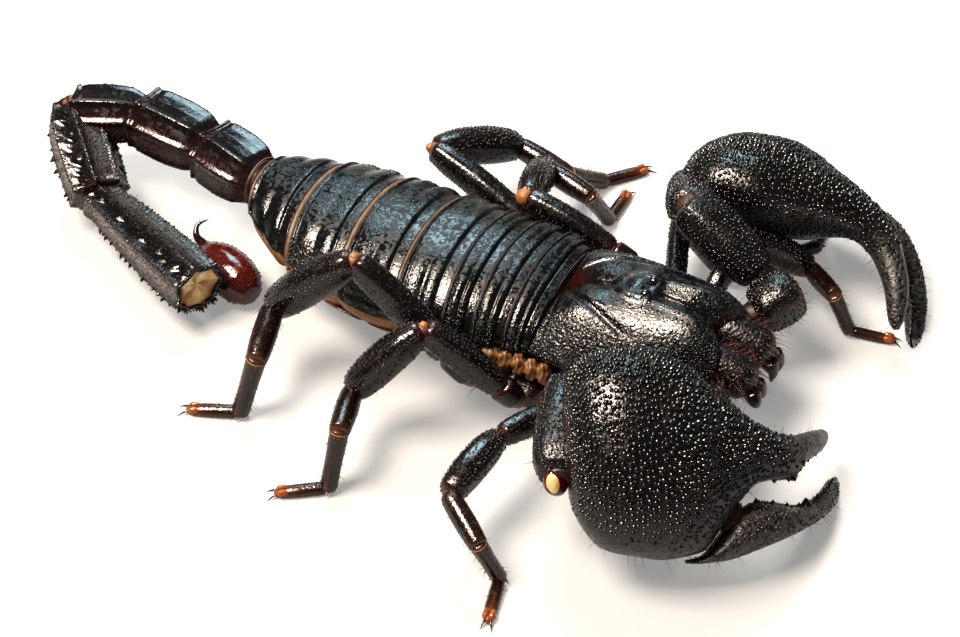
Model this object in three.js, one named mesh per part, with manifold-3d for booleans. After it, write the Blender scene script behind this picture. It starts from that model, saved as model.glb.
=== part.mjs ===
// An emperor scorpion at life size. It stands on its eight feet with the right claw turned in,
// the left claw held out ahead and the tail laid round on its side behind.
// Millimetres. +X runs to the head, +Y to the animal's left and +Z up. The floor is z = 0.

import * as THREE from "three";
import { ParametricGeometry } from "three/addons/geometries/ParametricGeometry.js";
import { mergeVertices } from "three/addons/utils/BufferGeometryUtils.js";
import Module from "manifold-3d";

const wasm = await Module();
wasm.setup();

// ---------------------------------------------------------------- driving dimensions

const GAP = 0.3; // clear space between two pieces that meet
const PLATE = 0.9; // thickness of a back plate
const UNDERLAY = 0.45; // clear depth between the plates and the soft body under them
const RIGHT = -1;
const LEFT = 1;
const SIDES = [
  ["right", RIGHT],
  ["left", LEFT],
];

const CARAPACE = { rear: 1.3, front: 24.4, notch: 3.2, lobe: 5.2, edge: 10.6, floor: 9.9 };

// Trunk outline: place along the body, half width, height of the back, height of the belly.
const TRUNK = [
  [1.0, 10.3, 14.9, 9.7],
  [-2.6, 11.0, 15.9, 9.3],
  [-5.4, 11.3, 16.3, 8.6],
  [-7.6, 11.5, 16.5, 4.2],
  [-11.0, 11.8, 16.7, 3.2],
  [-18.0, 11.9, 16.6, 2.8],
  [-26.4, 11.6, 16.2, 2.9],
  [-35.4, 9.8, 15.2, 3.8],
  [-41.0, 7.3, 14.2, 5.6],
  [-44.3, 5.0, 13.6, 6.8],
];
const FLANK = 9.6; // height of the trunk's widest line
const TAIL_SIDE = 1.9; // how far the trunk has swung to the left where the tail begins
const TRUNK_BOW = -1.4; // how far its middle bows to the right on the way
const PLATE_EDGES = [1.0, -2.6, -6.9, -11.0, -18.0, -26.4, -35.4, -44.3];
const HIND_BOW = 1.0; // how far the flanks of a plate's edges stand ahead of its middle

// Tail rings: [length, azimuth, elevation, half width, half height].
const TAIL_START = [-44.7, 1.9, 10.2];
const TAIL = [
  [10.3, 166, 1, 4.6, 3.9],
  [11.6, 175, 3, 4.3, 3.8],
  [9.8, -160, -3, 3.8, 3.4],
  [15.0, -42, -18, 3.9, 3.8],
  [24.6, -19, 1, 4.0, 3.9],
];
const VESICLE = { centre: [-43.4, -8.4, 3.05], azimuth: 156, elevation: 5, length: 10.6, radius: 3.0 };
const STING_REACH = 4.8;

// Legs, front pair first: lengths of femur, patella, tibia, basitarsus and tarsus.
const LEG_LENGTHS = [
  [13.3, 11.3, 7.0, 7.0, 6.1],
  [16.2, 11.0, 7.1, 7.2, 6.4],
  [16.8, 12.4, 7.4, 7.6, 6.5],
  [21.2, 14.6, 8.1, 8.5, 6.8],
];
const LEG_GIRTH = [0.86, 0.92, 1.0, 1.08];
const HEEL_HEIGHT = 0.7; // centre of the foot above the floor where the tarsus starts
const TOE_HEIGHT = 0.4; // and where it ends
// Where each leg leaves its coxa, then [azimuth, elevation] of its five lengths.
const LEGS = {
  right: [
    { hip: [16.4, -8.0, 5.6], turns: [[-96, -2], [-8, -5], [110, 0], [56, -23], [-60, -7]] },
    { hip: [10.5, -9.3, 6.0], turns: [[-114, 12], [-97, -1], [-34, -13], [31, -68], [-76, -3]] },
    { hip: [1.2, -13.2, 4.3], turns: [[-156, 46], [-137, -42], [-73, 6], [-99, -68], [-147, -6]] },
    { hip: [-4.8, -14.2, 6.5], turns: [[-178, 41], [-162, -42], [-75, -9], [-128, -70], [-159, -7]] },
  ],
  left: [
    { hip: [16.4, 8.4, 5.2], turns: [[84, 30], [31, -33], [-43, 11], [20, -67], [11, -7]] },
    { hip: [12.6, 9.4, 5.2], turns: [[110, 7], [-12, -29], [53, 4], [65, -18], [96, -7]] },
    { hip: [5.7, 12.2, 8.2], turns: [[177, 16], [103, -22], [-12, -6], [64, -58], [90, -10]] },
    { hip: [-6.2, 12.3, 6.6], turns: [[169, 17], [58, -22], [-6, -11], [65, -33], [51, -6]] },
  ],
};
const STERNUM = [[13, 2.5, 5.4], [8, 2.2, 5.2], [3, 1.8, 5.0], [-1, 1.8, 4.9]];

// Pedipalps: trochanter centre, elbow, wrist and the root of the fixed finger, how far the fixed
// finger droops and how much further down the movable one bends.
const ARMS = {
  right: {
    joints: [[25.8, -11.0, 11.0], [9.6, -16.0, 13.6], [14.8, -30.0, 12.8], [34.6, -15.0, 11.5]],
    droop: 42,
    opening: 3,
  },
  left: {
    joints: [[26.3, 12.1, 11.4], [11.5, 15.5, 18.3], [7.2, 30.4, 7.8], [31.2, 30.0, 11.1]],
    droop: 58,
    opening: 2,
  },
};
const CLAW_TILT = [0.32, 0.63, 0.7]; // which way the back of a hand faces, for the left one
const FIXED_FINGER = 14.5;
const MOVABLE_FINGER = 17.6;

// ---------------------------------------------------------------- helpers

const vector = (p) => new THREE.Vector3(...p);
const degrees = THREE.MathUtils.degToRad;

// The direction of an azimuth and an elevation.
function heading(azimuth, elevation) {
  const [a, e] = [degrees(azimuth), degrees(elevation)];
  return new THREE.Vector3(Math.cos(e) * Math.cos(a), Math.cos(e) * Math.sin(a), Math.sin(e));
}

// The joints that a chain of [length, azimuth, elevation] steps passes through.
function walk(start, steps) {
  const joints = [vector(start)];
  for (const [length, azimuth, elevation] of steps)
    joints.push(joints.at(-1).clone().addScaledVector(heading(azimuth, elevation), length));
  return joints;
}

// Linear reading of a table whose rows start with an ascending or descending place.
function readAt(table, place) {
  const rows = table[0][0] < table.at(-1)[0] ? table : [...table].reverse();
  const next = Math.max(1, rows.findIndex((row) => row[0] >= place));
  const [low, high] = [rows[next - 1], rows[next]];
  const t = THREE.MathUtils.clamp((place - low[0]) / (high[0] - low[0]), 0, 1);
  return low.map((value, i) => THREE.MathUtils.lerp(value, high[i], t));
}

const oval = (angle) => [Math.cos(angle), Math.sin(angle)];

// A rounded box section, flatter on its faces than an oval.
function boxy(angle) {
  const squash = (value) => Math.sign(value) * Math.abs(value) ** 0.75;
  return [squash(Math.cos(angle)), squash(Math.sin(angle))];
}

// A tail section: eight keels with shallow hollows between them.
function keeled(angle) {
  const reach = 0.94 + 0.06 * Math.cos(8 * angle);
  const [across, up] = boxy(angle);
  return [across * reach, up * reach];
}

// A closed body through joints. Each ring is [place, half width, half height, lift], and place counts
// the joints, so 0.5 is halfway along the first length. Inner joints are mitred. before and after are
// the directions of the neighbouring pieces: the ends are cut back to the plane halfway between.
function sweep(joints, rings, { around = 10, section = oval, roll = 0, before = null, after = null } = {}) {
  const axes = joints.slice(1).map((joint, i) => joint.clone().sub(joints[i]).normalize());
  const planes = joints.map((joint, i) => {
    const arriving = axes[i - 1] ?? before ?? axes[0];
    const leaving = axes[i] ?? after ?? axes.at(-1);
    return { joint, normal: arriving.clone().add(leaving).normalize() };
  });
  const frames = [firstFrame(axes[0], degrees(roll))];
  for (let i = 1; i < axes.length; i++) {
    const turn = new THREE.Quaternion().setFromUnitVectors(axes[i - 1], axes[i]);
    frames.push(frames[i - 1].map((direction) => direction.clone().applyQuaternion(turn)));
  }
  const last = axes.length;
  const body = (u, v, target) => {
    const [place, width, height, lift = 0] = rings[Math.round(v * (rings.length - 1))];
    const i = Math.min(Math.floor(place), last - 1);
    const [across, up] = section(2 * Math.PI * u);
    target.lerpVectors(joints[i], joints[i + 1], place - i);
    target.addScaledVector(frames[i][0], across * width);
    target.addScaledVector(frames[i][1], up * height + lift);
    slide(target, axes[i], planes[i], i === 0 ? GAP / 2 : 0, i > 0 && place === i, 1);
    slide(target, axes[i], planes[i + 1], i + 1 === last ? GAP / 2 : 0, false, -1);
  };
  return new ParametricGeometry(body, around, rings.length - 1);
}

// The side and up directions of a length, with the side level before the roll.
function firstFrame(axis, roll) {
  const side = new THREE.Vector3(0, 0, 1).cross(axis).normalize();
  const up = axis.clone().cross(side);
  return [side, up].map((direction) => direction.clone().applyAxisAngle(axis, roll));
}

// Slides a point along its length until it is on the right side of a mitre plane, or on it.
function slide(point, axis, { joint, normal }, clear, exactly, facing) {
  const reach = facing * point.clone().sub(joint).dot(normal) - clear;
  if (exactly || reach < 0) point.addScaledVector(axis, (-facing * reach) / axis.dot(normal));
}

// Stands a geometry on the floor: what would sink below it becomes a flat sole.
function soled(geometry) {
  const position = geometry.getAttribute("position");
  for (let i = 0; i < position.count; i++) position.setZ(i, Math.max(0, position.getZ(i)));
  return geometry;
}

function toSolid(geometry) {
  const merged = mergeVertices(
    new THREE.BufferGeometry()
      .setAttribute("position", geometry.toNonIndexed().getAttribute("position")),
    1e-3,
  );
  return new wasm.Manifold(
    new wasm.Mesh({
      numProp: 3,
      vertProperties: new Float32Array(merged.getAttribute("position").array),
      triVerts: new Uint32Array(merged.index.array),
    }),
  );
}

function fromSolid(solid) {
  const mesh = solid.getMesh();
  return new THREE.BufferGeometry()
    .setAttribute("position", new THREE.BufferAttribute(new Float32Array(mesh.vertProperties), 3))
    .setIndex(new THREE.BufferAttribute(new Uint32Array(mesh.triVerts), 1));
}

// Joins overlapping geometries into one closed body.
function joined(geometries) {
  return fromSolid(geometries.map(toSolid).reduce((whole, piece) => whole.add(piece)));
}

// Hollows a geometry out where another one, already fattened by the gap, folds against it.
function hollowed(geometry, fattened) {
  return fromSolid(toSolid(geometry).subtract(toSolid(fattened)));
}

// ---------------------------------------------------------------- materials

const shell = () => new THREE.MeshStandardMaterial({ color: "#17171c", roughness: 0.32, metalness: 0 });
const clawShell = () => new THREE.MeshStandardMaterial({ color: "#1f1518", roughness: 0.42, metalness: 0 });
const legShell = () => new THREE.MeshStandardMaterial({ color: "#22120f", roughness: 0.36, metalness: 0 });
const footShell = () => new THREE.MeshStandardMaterial({ color: "#5a2415", roughness: 0.45, metalness: 0 });
const membrane = () => new THREE.MeshStandardMaterial({ color: "#c89a62", roughness: 0.6, metalness: 0 });
const redShell = () => new THREE.MeshStandardMaterial({ color: "#6d1d12", roughness: 0.22, metalness: 0 });
const eyeLens = () => new THREE.MeshStandardMaterial({ color: "#0a0a0c", roughness: 0.08, metalness: 0 });

// ---------------------------------------------------------------- head shield and eyes

// Half width of the head shield at a share of its length.
const shieldHalf = (share) =>
  readAt([[0, 10.4], [0.25, 10.9], [0.6, 10.1], [0.85, 8.7], [1, 7.0]], share)[1];

// How far forward the front edge reaches at a share of the half width: two lobes round a notch.
function shieldFront(across) {
  const y = Math.abs(across) * shieldHalf(1);
  const notch = CARAPACE.notch * Math.exp(-((y / 2.2) ** 2));
  const corner = 3.2 * Math.max(0, (y - CARAPACE.lobe) / 2) ** 2;
  return CARAPACE.front - notch - corner;
}

// Height of the shield: a low vault with a furrow down the middle and a mound for the eyes.
function shieldHeight(share, across) {
  const crown = readAt([[0, 15.1], [0.2, 16.4], [0.5, 17.6], [0.8, 17.9], [1, 16.6]], share)[1];
  const y = across * shieldHalf(share);
  const vault = CARAPACE.edge + (crown - CARAPACE.edge) * (1 - Math.abs(across) ** 2.6);
  const furrow = (0.5 + 0.9 * Math.abs(share - 0.5)) * Math.exp(-((y / 1.5) ** 2));
  const hollow = 1.1 * Math.exp(-((share / 0.14) ** 2) - (y / 4) ** 2);
  const mound = 0.9 * Math.exp(-(((share - 0.5) / 0.1) ** 2) - (y / 2) ** 2);
  return vault - furrow - hollow + mound;
}

function carapaceShape() {
  const lengthwise = [0, 0.06, 0.2, 0.38, 0.5, 0.62, 0.8, 0.94, 1];
  const top = lengthwise.map((share) => [share, shieldHeight]);
  const loop = [...top, [1, () => CARAPACE.floor], [0, () => CARAPACE.floor]];
  const across = 18;
  const body = (u, v, target) => {
    const [share, height] = loop[Math.round(u * loop.length) % loop.length];
    const row = Math.round(v * (across + 2));
    const side = -Math.cos((Math.PI * THREE.MathUtils.clamp(row - 1, 0, across)) / across) * 0.995;
    const x = THREE.MathUtils.lerp(CARAPACE.rear, shieldFront(side), share);
    target.set(x, side * shieldHalf(share), height(share, side));
    if (row === 0 || row === across + 2)
      target.set(0.5 * CARAPACE.front, side * shieldHalf(0.45), (CARAPACE.edge + CARAPACE.floor) / 2);
  };
  return new ParametricGeometry(body, loop.length, across + 2);
}

// ---------------------------------------------------------------- trunk and its plates

// A point of the trunk's outline at a place along it. Angle 0 is the left flank, 90 degrees the back.
function trunkPoint(x, angle, inset, target) {
  const [, half, back, belly] = readAt(TRUNK, x);
  const [across, up] = [Math.cos(angle), Math.sin(angle)].map((v) => Math.sign(v) * Math.abs(v) ** 0.85);
  const share = Math.min(x, 0) / TAIL_START[0];
  const middle = TAIL_SIDE * share ** 2 + TRUNK_BOW * Math.sin(Math.PI * Math.min(share, 1));
  const height = up > 0 ? back - FLANK - inset : FLANK - belly;
  const bow = HIND_BOW * across ** 2 * Math.sin(Math.PI * Math.min(share, 1)) ** 0.5;
  target.set(x + bow, middle + across * (half - inset), FLANK + up * height);
}

// The soft body: full below the plates, and drawn in by their thickness under them.
function trunkShape() {
  const around = 20;
  const body = (u, v, target) => {
    const row = Math.round(v * (TRUNK.length + 1));
    const [x] = TRUNK[THREE.MathUtils.clamp(row - 1, 0, TRUNK.length - 1)];
    const angle = -2 * Math.PI * u;
    const covered = Math.sin(angle) > -0.01;
    trunkPoint(x, angle, covered ? PLATE + UNDERLAY : 0, target);
    if (row === 0 || row === TRUNK.length + 1) target.set(x, row === 0 ? 0 : TAIL_SIDE, FLANK);
  };
  return new ParametricGeometry(body, around, TRUNK.length + 1);
}

// A back plate from its front edge to its raised hind rim, arched from flank to flank.
function plateShape(front, hind) {
  const length = front - hind - GAP;
  const loop = [
    [0, 0.3],
    [0.55, 0],
    [0.85, 0.05],
    [1, 0.12],
    [1, PLATE],
    [0, PLATE],
  ].map(([share, inset]) => [front - GAP / 2 - share * length, inset]);
  const across = 14;
  const body = (u, v, target) => {
    const row = Math.round(v * (across + 2));
    const share = THREE.MathUtils.clamp(row - 1, 0, across) / across;
    const angle = degrees(3 + 174 * share);
    let [x, inset] = loop[Math.round(u * loop.length) % loop.length];
    if (row === 0 || row === across + 2) [x, inset] = [(front + hind) / 2, PLATE / 2];
    trunkPoint(x, angle, inset, target);
  };
  return new ParametricGeometry(body, loop.length, across + 2);
}

// ---------------------------------------------------------------- underside of the head

// The breast plate with the coxae of the eight legs and of the pedipalps spreading from it.
function coxaeShape() {
  const breast = sweep([vector([-3.5, 0, 5.2]), vector([5, 0, 6.6]), vector([20.5, 0, 7.0])], [
    [0, 0, 0],
    [0, 3.0, 1.2],
    [1, 6.4, 2.5],
    [1.5, 7.0, 2.6],
    [2, 5.2, 2.3],
    [2, 0, 0],
  ]);
  const pieces = [breast];
  for (const [side, sign] of SIDES) {
    LEGS[side].forEach(({ hip, turns }, pair) => {
      const [x, y, z] = STERNUM[pair];
      const after = heading(...turns[0]);
      const girth = LEG_GIRTH[pair];
      const rings = [[0, 0, 0], [0, 1.6, 1.6], [0.5, 2.5 * girth, 2.0], [1, 1.6 * girth, 1.6], [1, 0, 0]];
      pieces.push(sweep([vector([x, sign * y, z]), vector(hip)], rings, { around: 7, after }));
    });
    const root = [vector([13, sign * 3.6, 6.8]), vector([22.8, sign * 7.8, 8.0])];
    pieces.push(sweep(root, [[0, 0, 0], [0, 1.8, 1.8], [0.6, 2.5, 1.9], [1, 2.6, 1.9], [1, 0, 0]]));
  }
  return joined(pieces);
}

function cheliceraShape(sign) {
  const joints = [[25.3, sign * 2.7, 12.5], [28.4, sign * 2.9, 10.8], [29.2, sign * 2.2, 7.2]].map(vector);
  return sweep(joints, [
    [0, 0, 0],
    [0, 2.1, 2.4],
    [0.6, 2.3, 2.7],
    [1, 1.9, 1.9],
    [1.5, 1.2, 1.3],
    [2, 0, 0],
  ]);
}

// A comb: a thin blade under the belly, its teeth left to a row along its hind edge.
function combShape(sign) {
  const joints = [[-5.2, sign * 1.6, 3.2], [-8.6, sign * 8.6, 3.3], [-8.9, sign * 11.6, 4.4]].map(vector);
  return sweep(joints, [
    [0, 0, 0],
    [0, 0.9, 0.35],
    [0.5, 1.9, 0.35],
    [1, 1.7, 0.35],
    [1.8, 1.0, 0.3],
    [2, 0, 0],
  ]);
}

// ---------------------------------------------------------------- tail

const tailJoints = walk(TAIL_START, TAIL);
const tailHeadings = TAIL.map(([, azimuth, elevation]) => heading(azimuth, elevation));

function tailRing(i) {
  const [, , , width, height] = TAIL[i];
  const swell = i < 4 ? [0.8, 0.95, 1.0, 0.97, 0.88] : [0.68, 0.8, 0.92, 1.0, 1.0];
  const rings = [0, 0.15, 0.5, 0.85, 1].map((place, k) => [place, width * swell[k], height * swell[k]]);
  const [before, after] = [tailHeadings[i - 1] ?? heading(180, 0), tailHeadings[i + 1] ?? null];
  const ends = [[0, 0, 0], ...rings, [1, 0, 0]];
  return sweep([tailJoints[i], tailJoints[i + 1]], ends, { around: 16, section: keeled, before, after });
}

// The venom bulb, folded back beside the last tail ring.
function vesicleShape() {
  const { centre, azimuth, elevation, length, radius } = VESICLE;
  const along = heading(azimuth, elevation);
  const joints = [-0.5, 0.5].map((share) => vector(centre).addScaledVector(along, share * length));
  const girth = [[0, 0], [0.02, 0.45], [0.18, 0.85], [0.42, 1], [0.68, 0.86], [0.9, 0.5], [1, 0.3], [1, 0]];
  return sweep(joints, girth.map(([place, share]) => [place, share * radius, share * radius]));
}

// The sting: a thin thorn that leaves the bulb's tip and hooks up and over.
function stingShape() {
  const { centre, azimuth, elevation, length } = VESICLE;
  const root = vector(centre).addScaledVector(heading(azimuth, elevation), length / 2 + GAP / 2);
  const joints = walk(root.toArray(), [
    [0.45 * STING_REACH, azimuth - 5, 5],
    [0.3 * STING_REACH, azimuth - 45, 35],
    [0.35 * STING_REACH, azimuth - 110, 20],
  ]);
  const girth = [[0, 0], [0, 0.9], [1, 0.6], [2, 0.42], [2.7, 0.3], [3, 0.25], [3, 0]];
  return sweep(joints, girth.map(([place, radius]) => [place, radius, radius]), { around: 8 });
}

// ---------------------------------------------------------------- legs

// Rings of a leg's lengths, for a girth of 1. The femur starts with the bead of its trochanter.
const LEG_FEMUR = [
  [0, 0, 0],
  [0, 1.3, 1.4],
  [0.16, 1.6, 1.8],
  [0.22, 1.4, 1.6],
  [0.55, 1.55, 2.1],
  [0.9, 1.4, 1.7],
  [1, 1.1, 1.3],
  [1, 0, 0],
];
const LEG_PATELLA = [
  [0, 0, 0],
  [0, 1.1, 1.2],
  [0.15, 1.6, 1.8],
  [0.5, 2.0, 2.4],
  [0.85, 1.8, 2.1],
  [1, 1.4, 1.6],
  [1, 0, 0],
];
const LEG_FOOT = [
  [0, 0, 0],
  [0, 1.1, 1.2],
  [0.3, 1.5, 1.6],
  [0.8, 1.4, 1.5],
  [1, 1.2, 1.2],
  [1.85, 1.1, 1.1],
  [2, 0.95, 0.95],
  [2.5, 0.9, 0.85],
  [2.75, 0.9, 0.7],
  [3, 0.45, 0.35],
  [3, 0, 0],
];

// The three nodes of a leg: femur with its trochanter, patella, and the foot down to the claws.
function legPieces(side, pair) {
  const { hip, turns } = LEGS[side][pair];
  const joints = walk(hip, turns.map((turn, i) => [LEG_LENGTHS[pair][i], ...turn]));
  joints[4].z = HEEL_HEIGHT;
  joints[5].z = TOE_HEIGHT;
  const [toKnee, toShin, toFoot] = turns.map((turn) => heading(...turn));
  const [x, y, z] = STERNUM[pair];
  const coxa = vector(hip).sub(vector([x, side === "left" ? y : -y, z])).normalize();
  const piece = (from, to, rings, neighbours) => {
    const girth = LEG_GIRTH[pair];
    const scaled = rings.map(([place, width, height]) => [place, width * girth, height * girth]);
    return sweep(joints.slice(from, to + 1), scaled, { around: 9, ...neighbours });
  };
  return {
    femur: piece(0, 1, LEG_FEMUR, { before: coxa, after: toShin }),
    patella: piece(1, 2, LEG_PATELLA, { before: toKnee, after: toFoot }),
    foot: soled(piece(2, 5, LEG_FOOT, { before: toShin })),
  };
}

// ---------------------------------------------------------------- pedipalps

// The claw's own directions: along the hand, towards its inner edge and out of its back.
function clawFrame(side, sign) {
  const [, , wrist, root] = ARMS[side].joints.map(vector);
  const along = root.clone().sub(wrist).normalize();
  const back = vector([CLAW_TILT[0], sign * CLAW_TILT[1], CLAW_TILT[2]]);
  back.addScaledVector(along, -back.dot(along)).normalize();
  const inner = along.clone().cross(back).multiplyScalar(sign);
  return { wrist, along, inner, back };
}

// The spine of the claw: along the hand, then drooping through one of its fingers.
function spineOf(side, finger, opening) {
  const [, , wrist, root] = ARMS[side].joints.map(vector);
  const hand = wrist.distanceTo(root);
  const droop = degrees(ARMS[side].droop + opening);
  const along = (length, angle) =>
    new THREE.Vector3(hand + length * Math.cos(angle), 0, -length * Math.sin(angle));
  return new THREE.CatmullRomCurve3([
    new THREE.Vector3(0, 0, 0),
    new THREE.Vector3(0.5 * hand, 0, 0.8),
    new THREE.Vector3(hand, 0, 0),
    along(0.55 * finger, 0.8 * droop),
    along(finger, droop),
  ]);
}

// A closed body round the claw's spine. Each ring is [share of the spine, outer edge, inner edge,
// rise to the back, fall to the palm].
function clawBody(side, sign, spine, rings, around) {
  const { wrist, along, inner, back } = clawFrame(side, sign);
  const body = (u, v, target) => {
    const [share, outerEdge, innerEdge, rise, fall] = rings[Math.round(v * (rings.length - 1))];
    const [across, up] = oval(-sign * 2 * Math.PI * u);
    const centre = spine.getPointAt(share);
    const heading = spine.getTangentAt(share);
    const shift = (outerEdge + innerEdge) / 2 + (across * (innerEdge - outerEdge)) / 2;
    const height = up * (up > 0 ? rise : fall);
    target.copy(wrist)
      .addScaledVector(along, centre.x - heading.z * height)
      .addScaledVector(back, centre.z + heading.x * height)
      .addScaledVector(inner, shift);
  };
  return new ParametricGeometry(body, around, rings.length - 1);
}

// The hand with its fixed finger: a heart-shaped swelling that tapers into the finger.
const HAND = [
  [0.03, 0, 6, 0, 0],
  [0.03, -2.6, 8.5, 2.6, 2.2],
  [0.05, -5, 12, 4.4, 3.4],
  [0.11, -8.2, 14.4, 6.6, 4.6],
  [0.2, -9.4, 15.2, 7.8, 5.0],
  [0.3, -10.2, 14.6, 7.9, 5.0],
  [0.4, -9.8, 12.5, 6.8, 4.6],
  [0.46, -7.6, 10.2, 5.4, 4.0],
  [0.53, -4.4, 7.4, 4.2, 3.3],
  [0.6, -2.4, 4.9, 3.1, 2.6],
  [0.68, -2.2, 3.2, 2.5, 2.2],
  [0.73, -2.3, 2.7, 2.2, 2.0],
  [0.78, -0.9, 2.6, 2.0, 1.8],
  [0.88, -0.2, 2.7, 1.6, 1.5],
  [0.97, 0.8, 2.6, 1.0, 1.0],
  [1.0, 1.4, 2.2, 0.4, 0.4],
  [1.0, 1.8, 1.8, 0, 0],
];

// The movable finger, from its root beside the palm to the hooked tip.
const FINGER = [
  [0.33, -10.7, -10.7, 0, 0],
  [0.33, -10.9, -10.5, 0.6, 0.6],
  [0.37, -11.1, -10.3, 1.3, 1.2],
  [0.43, -11.1, -8.0, 2.3, 2.0],
  [0.49, -10.7, -5.4, 2.6, 2.2],
  [0.54, -10.2, -4.6, 2.6, 2.2],
  [0.6, -9.6, -5.1, 2.5, 2.2],
  [0.68, -8.9, -5.9, 2.2, 2.0],
  [0.75, -8.3, -6.1, 2.0, 1.8],
  [0.83, -7.6, -5.4, 1.7, 1.6],
  [0.9, -6.9, -4.9, 1.4, 1.3],
  [0.97, -5.9, -4.3, 0.9, 0.9],
  [1.0, -5.1, -4.4, 0.3, 0.3],
  [1.0, -4.7, -4.7, 0, 0],
];

// The length between elbow and wrist; its far end is folded into the root of the hand.
const PATELLA = [
  [0, 0, 0],
  [0, 2.5, 2.2],
  [0.12, 3.1, 2.8],
  [0.45, 3.6, 3.2],
  [0.78, 3.5, 3.1],
  [0.9, 2.6, 2.3],
  [0.95, 1.4, 1.3],
  [0.95, 0, 0],
];

function armPieces(side, sign) {
  const [hub, elbow, wrist, root] = ARMS[side].joints.map(vector);
  const upper = elbow.clone().sub(hub).normalize();
  const lower = wrist.clone().sub(elbow).normalize();
  const inward = vector([-2.6, -sign * 3.0, -1.6]);
  const trochanter = sweep([hub.clone().add(inward), hub.clone().sub(inward.multiplyScalar(0.6))], [
    [0, 0, 0],
    [0, 2.2, 2.2],
    [0.25, 3.2, 3.2],
    [0.6, 3.5, 3.5],
    [0.9, 2.6, 2.6],
    [1, 1.2, 1.2],
    [1, 0, 0],
  ]);
  const femur = sweep([hub, elbow], [
    [0.24, 0, 0],
    [0.24, 2.2, 2.0],
    [0.4, 3.0, 2.7],
    [0.7, 3.2, 2.9],
    [0.92, 3.0, 2.6],
    [1, 2.5, 2.2],
    [1, 0, 0],
  ], { after: lower, section: boxy });
  const patella = sweep([elbow, wrist], PATELLA, { before: upper, section: boxy });
  const fattened = PATELLA.map(([place, width, height]) =>
    [place + GAP / elbow.distanceTo(wrist), width && width + GAP, height && height + GAP]);
  const hollow = sweep([elbow, wrist], fattened, { before: upper, section: boxy });
  const hand = clawBody(side, sign, spineOf(side, FIXED_FINGER, 0), HAND, 18);
  const finger = clawBody(side, sign, spineOf(side, MOVABLE_FINGER, ARMS[side].opening), FINGER, 12);
  return { trochanter, femur, patella, hand: hollowed(hand, hollow), movable_finger: soled(finger) };
}

// ---------------------------------------------------------------- assembly

const body = new THREE.Group();

function add(name, geometry, material) {
  geometry.computeVertexNormals();
  const mesh = new THREE.Mesh(geometry, material);
  mesh.name = name;
  body.add(mesh);
}

add("carapace", carapaceShape(), shell());
add("coxae", coxaeShape(), redShell());
add("trunk", trunkShape(), membrane());
for (let i = 0; i < 7; i++) add(`tergite_${i + 1}`, plateShape(PLATE_EDGES[i], PLATE_EDGES[i + 1]), shell());
for (let i = 0; i < 5; i++) add(`metasoma_${i + 1}`, tailRing(i), shell());
add("telson_vesicle", vesicleShape(), redShell());
add("telson_aculeus", stingShape(), shell());

for (const [side, sign] of SIDES) {
  const eye = new THREE.SphereGeometry(0.75, 9, 6);
  eye.translate(0.53 * CARAPACE.front, sign * 1.5, 18.9);
  add(`eye_${side}`, eye, eyeLens());
  add(`chelicera_${side}`, cheliceraShape(sign), redShell());
  add(`pectine_${side}`, combShape(sign), membrane());
  for (let pair = 0; pair < 4; pair++) {
    const { femur, patella, foot } = legPieces(side, pair);
    add(`leg_${side}_${pair + 1}_femur`, femur, legShell());
    add(`leg_${side}_${pair + 1}_patella`, patella, legShell());
    add(`leg_${side}_${pair + 1}_foot`, foot, footShell());
  }
  for (const [name, geometry] of Object.entries(armPieces(side, sign)))
    add(`pedipalp_${side}_${name}`, geometry, clawShell());
}

// The part's origin is the middle of its footprint, on the floor.
const box = new THREE.Box3().setFromObject(body);
const middle = box.getCenter(new THREE.Vector3());
body.position.set(-middle.x, -middle.y, -box.min.z);

const scorpion = new THREE.Group();
scorpion.add(body);

export default scorpion;
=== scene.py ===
import math
import bpy
import numpy as np
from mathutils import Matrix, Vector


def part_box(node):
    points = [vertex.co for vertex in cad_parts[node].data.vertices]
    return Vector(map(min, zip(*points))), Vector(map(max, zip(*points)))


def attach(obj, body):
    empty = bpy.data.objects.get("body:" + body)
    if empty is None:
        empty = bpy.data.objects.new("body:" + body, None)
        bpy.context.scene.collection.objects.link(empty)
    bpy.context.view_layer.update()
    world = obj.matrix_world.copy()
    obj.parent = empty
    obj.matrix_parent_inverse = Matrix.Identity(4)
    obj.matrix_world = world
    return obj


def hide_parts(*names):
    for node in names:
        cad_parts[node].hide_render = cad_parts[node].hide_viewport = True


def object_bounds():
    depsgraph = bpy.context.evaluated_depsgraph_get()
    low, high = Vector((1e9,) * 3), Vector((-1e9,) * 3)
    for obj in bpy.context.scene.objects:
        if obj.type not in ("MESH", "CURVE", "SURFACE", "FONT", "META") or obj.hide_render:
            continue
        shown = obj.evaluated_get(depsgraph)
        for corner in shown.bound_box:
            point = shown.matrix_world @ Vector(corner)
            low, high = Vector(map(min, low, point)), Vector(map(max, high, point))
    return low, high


# An emperor scorpion at life size: polished black plates over a soft tan skin, claws packed with
# rounded granules, a keeled tail and red-brown feet. Sizes are millimetres, measured in the
# animal's own frame: +X runs to the head, +Y to its left and +Z up from the floor.

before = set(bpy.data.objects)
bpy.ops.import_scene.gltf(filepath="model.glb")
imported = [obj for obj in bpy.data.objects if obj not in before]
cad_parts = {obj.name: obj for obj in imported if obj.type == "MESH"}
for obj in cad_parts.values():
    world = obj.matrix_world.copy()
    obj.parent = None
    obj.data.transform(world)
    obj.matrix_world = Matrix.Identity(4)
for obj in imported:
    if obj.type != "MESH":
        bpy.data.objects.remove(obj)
cad_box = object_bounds()
rng = np.random.default_rng(7)

# ---------------------------------------------------------------- driving dimensions

MM = 0.001
PLATE = 0.9  # thickness of a back plate
SIDES = {"right": -1, "left": 1}

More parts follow.
